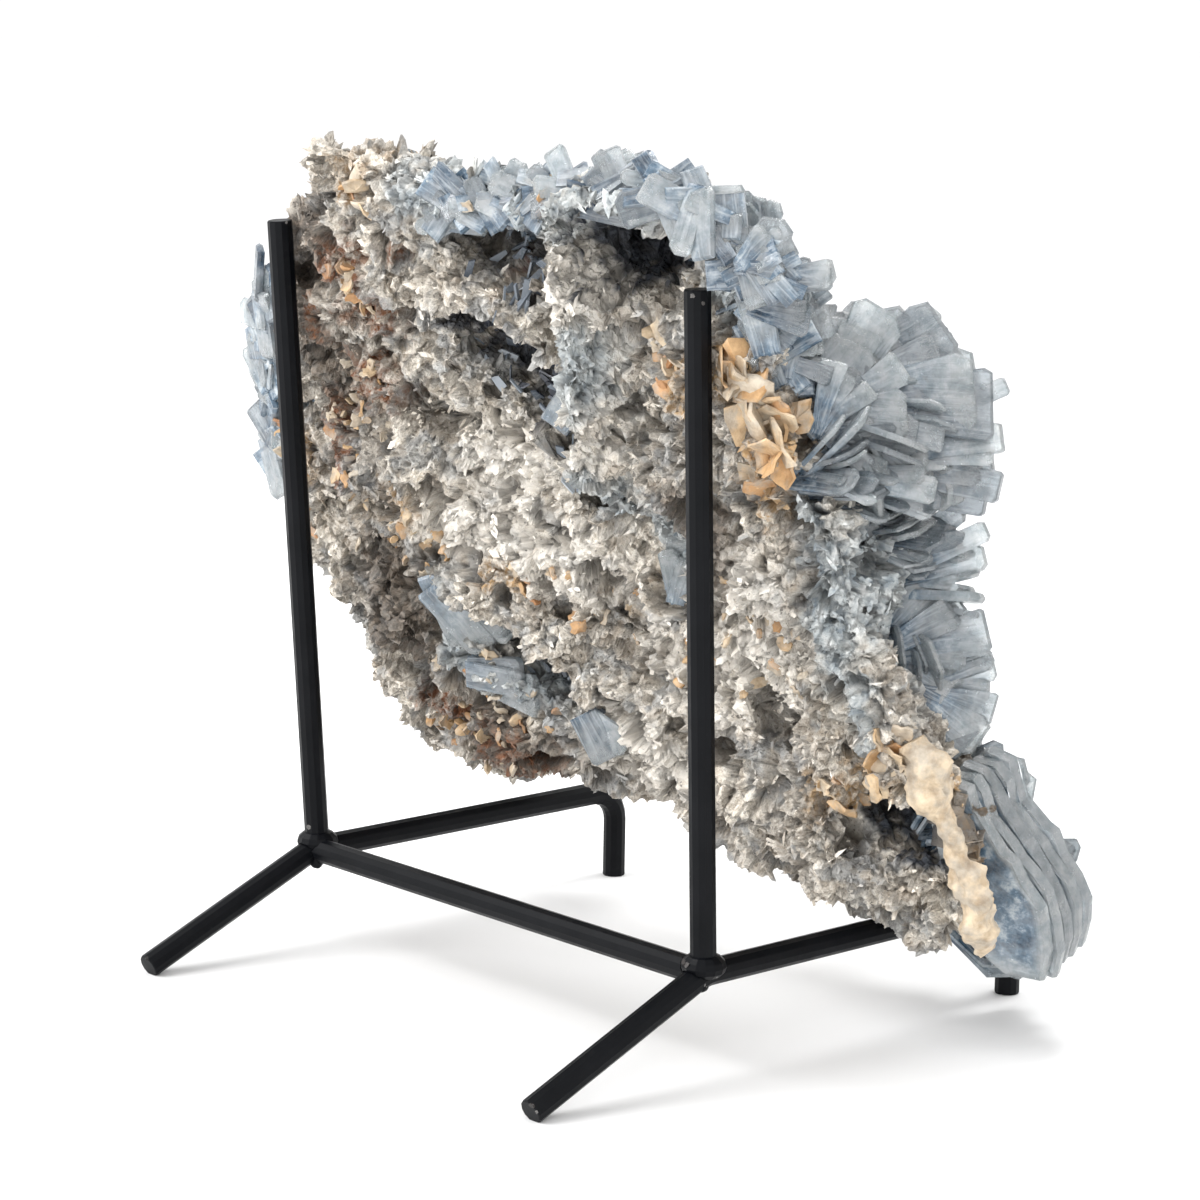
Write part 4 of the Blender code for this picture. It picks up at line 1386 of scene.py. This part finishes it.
def crystal_material():
    material, n, shader = new_material("clear_barite")
    along = n.math("MULTIPLY", n.attribute("reach"), 1.6)
    fibre = n.fibres(n.attribute("streak"), along, n.math("MULTIPLY", n.attribute("tone"), 50.0), 1.3)
    streaks = n.ramp(fibre, (0.48, 0.0), (0.64, 1.0))
    veils = n.ramp(n.noise(7.0, 5.0, 0.7), (0.45, 0.0), (0.72, 1.0))
    near = n.ramp(n.attribute("reach"), (0.42, 0.0), (1.0, 1.0))
    cloud = n.ramp(
        n.noise(5.0, 6.0, 0.65),
        (0.38, (0.028, 0.062, 0.105)),
        (0.53, (0.13, 0.215, 0.305)),
        (0.68, (0.73, 0.80, 0.84)),
    )
    rim = n.ramp(n.noise(3.0, 4.0), (0.35, (0.50, 0.57, 0.59)), (0.64, (0.95, 0.97, 0.965)))
    inner = n.mix(near, cloud, rim)
    each = n.ramp(n.attribute("tone"), (0.0, (0.42, 0.45, 0.49)), (0.6, (0.95, 0.95, 0.95)))
    # Whitish streaks along the blades: partly pale fibres of the crystal, partly a painted highlight on its
    # striations.
    inner = n.tint(n.times(inner, each), streaks, 0.35, (0.78, 0.83, 0.86))
    cracks = n.ramp(n.cracks(6.0), (0.0, 1.0), (0.03, 0.0))
    inner = n.tint(inner, cracks, 0.14, (0.16, 0.20, 0.24))
    colour = n.tint(inner, veils, 0.25, (0.88, 0.90, 0.90))
    n.link(colour, shader.inputs["Base Color"])
    n.link(n.ramp(near, (0.0, 0.3), (1.0, 0.74)), shader.inputs["Transmission Weight"])
    n.link(n.ramp(n.noise(2.0), (0.35, 0.05), (0.7, 0.3)), shader.inputs["Roughness"])
    shader.inputs["IOR"].default_value = 1.64
    ribbed = n.bump(fibre, 0.5, 0.6)
    n.link(n.bump(n.noise(1.2, 6.0), 0.3, 0.5, ribbed), shader.inputs["Normal"])
    absorb = n.new("ShaderNodeVolumeAbsorption")
    absorb.inputs["Color"].default_value = (0.46, 0.64, 0.72, 1.0)
    absorb.inputs["Density"].default_value = 15.0
    n.link(absorb.outputs["Volume"], n.tree.nodes["Material Output"].inputs["Volume"])
    return material


def blade_material():
    material, n, shader = new_material("hollow_blades")
    colour = n.ramp(
        n.attribute("tone"),
        (0.0, (0.05, 0.06, 0.075)),
        (0.5, (0.15, 0.175, 0.205)),
        (0.85, (0.32, 0.345, 0.37)),
        (1.0, (0.55, 0.57, 0.58)),
    )
    shade = n.ramp(n.attribute("hollow"), (0.6, (1.2, 1.2, 1.2)), (0.9, (0.3, 0.3, 0.34)))
    n.link(n.times(colour, shade), shader.inputs["Base Color"])
    n.link(n.ramp(n.noise(2.0), (0.3, 0.12), (0.7, 0.4)), shader.inputs["Roughness"])
    n.link(n.bump(n.noise(0.8), 0.15, 0.5), shader.inputs["Normal"])
    return material


def petal_material():
    material, n, shader = new_material("ochre_petals")
    colour = n.ramp(
        n.attribute("tone"),
        (0.0, (0.46, 0.23, 0.10)),
        (0.25, (0.72, 0.46, 0.23)),
        (0.6, (0.74, 0.58, 0.38)),
        (1.0, (0.72, 0.65, 0.54)),
    )
    greyer = n.ramp(n.noise(5.0, 4.0), (0.45, 0.0), (0.62, 0.75))
    colour = n.mix(greyer, colour, (0.46, 0.42, 0.36))
    mottled = n.ramp(n.noise(3.4, 6.0), (0.33, (0.58, 0.52, 0.46)), (0.6, (0.92, 0.91, 0.90)))
    n.link(n.times(colour, mottled), shader.inputs["Base Color"])
    n.link(n.ramp(n.noise(2.0), (0.3, 0.4), (0.7, 0.75)), shader.inputs["Roughness"])
    n.link(n.bump(n.noise(0.7, 5.0), 0.3, 0.8), shader.inputs["Normal"])
    return material


def paint_material():
    material, n, shader = new_material("satin_black")
    scuff = n.ramp(n.noise(1.6, 6.0, 0.75), (0.66, 0.0), (0.72, 1.0))
    colour = n.ramp(n.noise(14.0), (0.3, (0.0015, 0.002, 0.003)), (0.7, (0.004, 0.0045, 0.006)))
    colour = n.tint(colour, scuff, 0.3, (0.05, 0.05, 0.05))
    shader.inputs["Specular IOR Level"].default_value = 0.12
    n.link(colour, shader.inputs["Base Color"])
    n.link(n.ramp(n.noise(5.0), (0.3, 0.32), (0.7, 0.48)), shader.inputs["Roughness"])
    n.link(n.bump(n.noise(0.9, 4.0), 0.06, 0.5), shader.inputs["Normal"])
    return material


def scuff_material():
    material, n, shader = new_material("bare_steel")
    colour = n.ramp(
        n.attribute("shade"),
        (0.0, (0.004, 0.004, 0.004)),
        (0.4, (0.05, 0.042, 0.04)),
        (1.0, (0.34, 0.33, 0.32)),
    )
    # Wear of the bare steel: duller and brighter patches.
    wear_and_floor_shade = n.ramp(n.noise(0.8, 4.0), (0.35, (0.4, 0.4, 0.4)), (0.65, (1.0, 1.0, 1.0)))
    n.link(n.times(colour, wear_and_floor_shade), shader.inputs["Base Color"])
    n.link(n.ramp(n.noise(0.7), (0.3, 0.35), (0.7, 0.6)), shader.inputs["Roughness"])
    shader.inputs["Metallic"].default_value = 0.4
    return material


def floor_material():
    material, n, shader = new_material("pale_floor")
    away = n.new("ShaderNodeVectorMath", operation="LENGTH")
    n.link(n.place, away.inputs[0])
    # Painted shadow: the floor is darker near its middle, under the stand, and paler further out.
    wear_and_floor_shade = n.ramp(away.outputs["Value"], (0.15, 0.85), (0.6, 0.97))
    fine = n.ramp(n.noise(180.0, 2.0), (0.3, 0.97), (0.7, 0.99))
    n.link(n.times(wear_and_floor_shade, fine), shader.inputs["Base Color"])
    shader.inputs["Roughness"].default_value = 0.6
    return material


# The studio.


def build_floor():
    bm = bmesh.new()
    bmesh.ops.create_grid(bm, x_segments=1, y_segments=1, size=FLOOR_HALF)
    floor = mesh_object("floor", bm)
    floor.data.materials.append(floor_material())


def area_light(name, place, size, power):
    light = bpy.data.lights.new(name, "AREA")
    light.shape = "DISK"
    light.size = size
    light.energy = power
    obj = linked(name, light)
    obj.location = place
    obj.rotation_euler = (LIGHT_AIM - Vector(place)).to_track_quat("-Z", "Y").to_euler()


def build_light():
    world = bpy.data.worlds.new("white_studio")
    world.use_nodes = True
    background = world.node_tree.nodes["Background"]
    background.inputs["Color"].default_value = (1.0, 1.0, 1.0, 1.0)
    background.inputs["Strength"].default_value = WORLD_STRENGTH
    bpy.context.scene.world = world
    bpy.context.scene.view_settings.view_transform = "Standard"
    for values in LIGHTS:
        area_light(*values)


def build_camera():
    azimuth = math.radians(CAMERA_AZIMUTH)
    elevation = math.radians(CAMERA_ELEVATION)
    roll = math.radians(CAMERA_ROLL)
    back = Vector((
        math.sin(azimuth) * math.cos(elevation),
        -math.cos(azimuth) * math.cos(elevation),
        math.sin(elevation),
    ))
    right = Vector((math.cos(azimuth), math.sin(azimuth), 0.0))
    up = back.cross(right)
    turned_right = right * math.cos(roll) + up * math.sin(roll)
    turned_up = up * math.cos(roll) - right * math.sin(roll)
    camera = bpy.data.cameras.new("camera")
    camera.lens = CAMERA_LENS
    camera.sensor_width = CAMERA_SENSOR
    camera.sensor_height = CAMERA_SENSOR
    camera.sensor_fit = "HORIZONTAL"
    camera.clip_start = 0.01
    obj = linked("camera", camera)
    turn = Matrix((turned_right, turned_up, back)).transposed().to_4x4()
    obj.matrix_world = Matrix.Translation(SHIFT + (CAMERA_TARGET + back * CAMERA_DISTANCE) * MM) @ turn
    bpy.context.scene.camera = obj


def on_open_back(face):
    """A face of the back or the rim that isn't inside a hollow."""
    x, m, v = face.center
    return m < FRONT_DEPTH and hollow_depth(x, v) < OPEN_HOLLOW


def on_front(face):
    return face.center.y >= FRONT_DEPTH


def main():
    noise.seed_set(SEEDS["noise"])
    crust = build_crust()
    scattered = {}
    for name, scatter, count, wanted in (
        ("scales_back", scatter_flakes, FLAKES_BACK, on_open_back),
        ("scales_front", scatter_flakes, FLAKES_REST, on_front),
        ("laths_back", scatter_rosettes, ROSETTES_BACK, on_open_back),
        ("laths_front", scatter_rosettes, ROSETTES_REST, on_front),
    ):
        scattered[name] = scatter(crust.data, count, SEEDS[name], wanted)
    find = surface_finder(crust)
    petals = build_petals(find)
    crust.name = "crust_back_left"
    front = thinned(split(crust, "crust_front", 1, FRONT_DEPTH), FRONT_KEPT)
    right = split(crust, "crust_back_right", 0, 0.0)
    crusty = crust_material()
    for piece in (crust, right, front):
        piece.data.shade_flat()
        place_stone(piece, crusty)
    scaly = scale_material()
    for name, shards in scattered.items():
        place_stone(shards.build(name), scaly)
    clear = crystal_material()
    place_stone(build_crystals().build("crystals"), clear)
    sheets = build_sheets(SHEETS, SEEDS["sheets"], 0.0)
    add_jumbles(sheets)
    add_lobe(sheets)
    place_stone(sheets.build("crystal_sheets"), clear)
    place_stone(build_sheets(BITS, SEEDS["sunk_plates"], BIT_REACH).build("sunk_plates"), clear)
    place_stone(build_blades(find).build("hollow_blades"), blade_material())
    flaky = petals.build("ochre_petals")
    flaky.data.shade_smooth()
    flaky.data.set_sharp_from_angle(angle=PETAL_SHARP_ANGLE)
    place_stone(flaky, petal_material())
    paint = paint_material()
    for name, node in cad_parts.items():
        if name != "barite":
            node.data.materials.clear()
            node.data.materials.append(paint)
    build_scuffs()
    build_weld_drops(paint)
    build_floor()
    build_light()
    build_camera()


main()
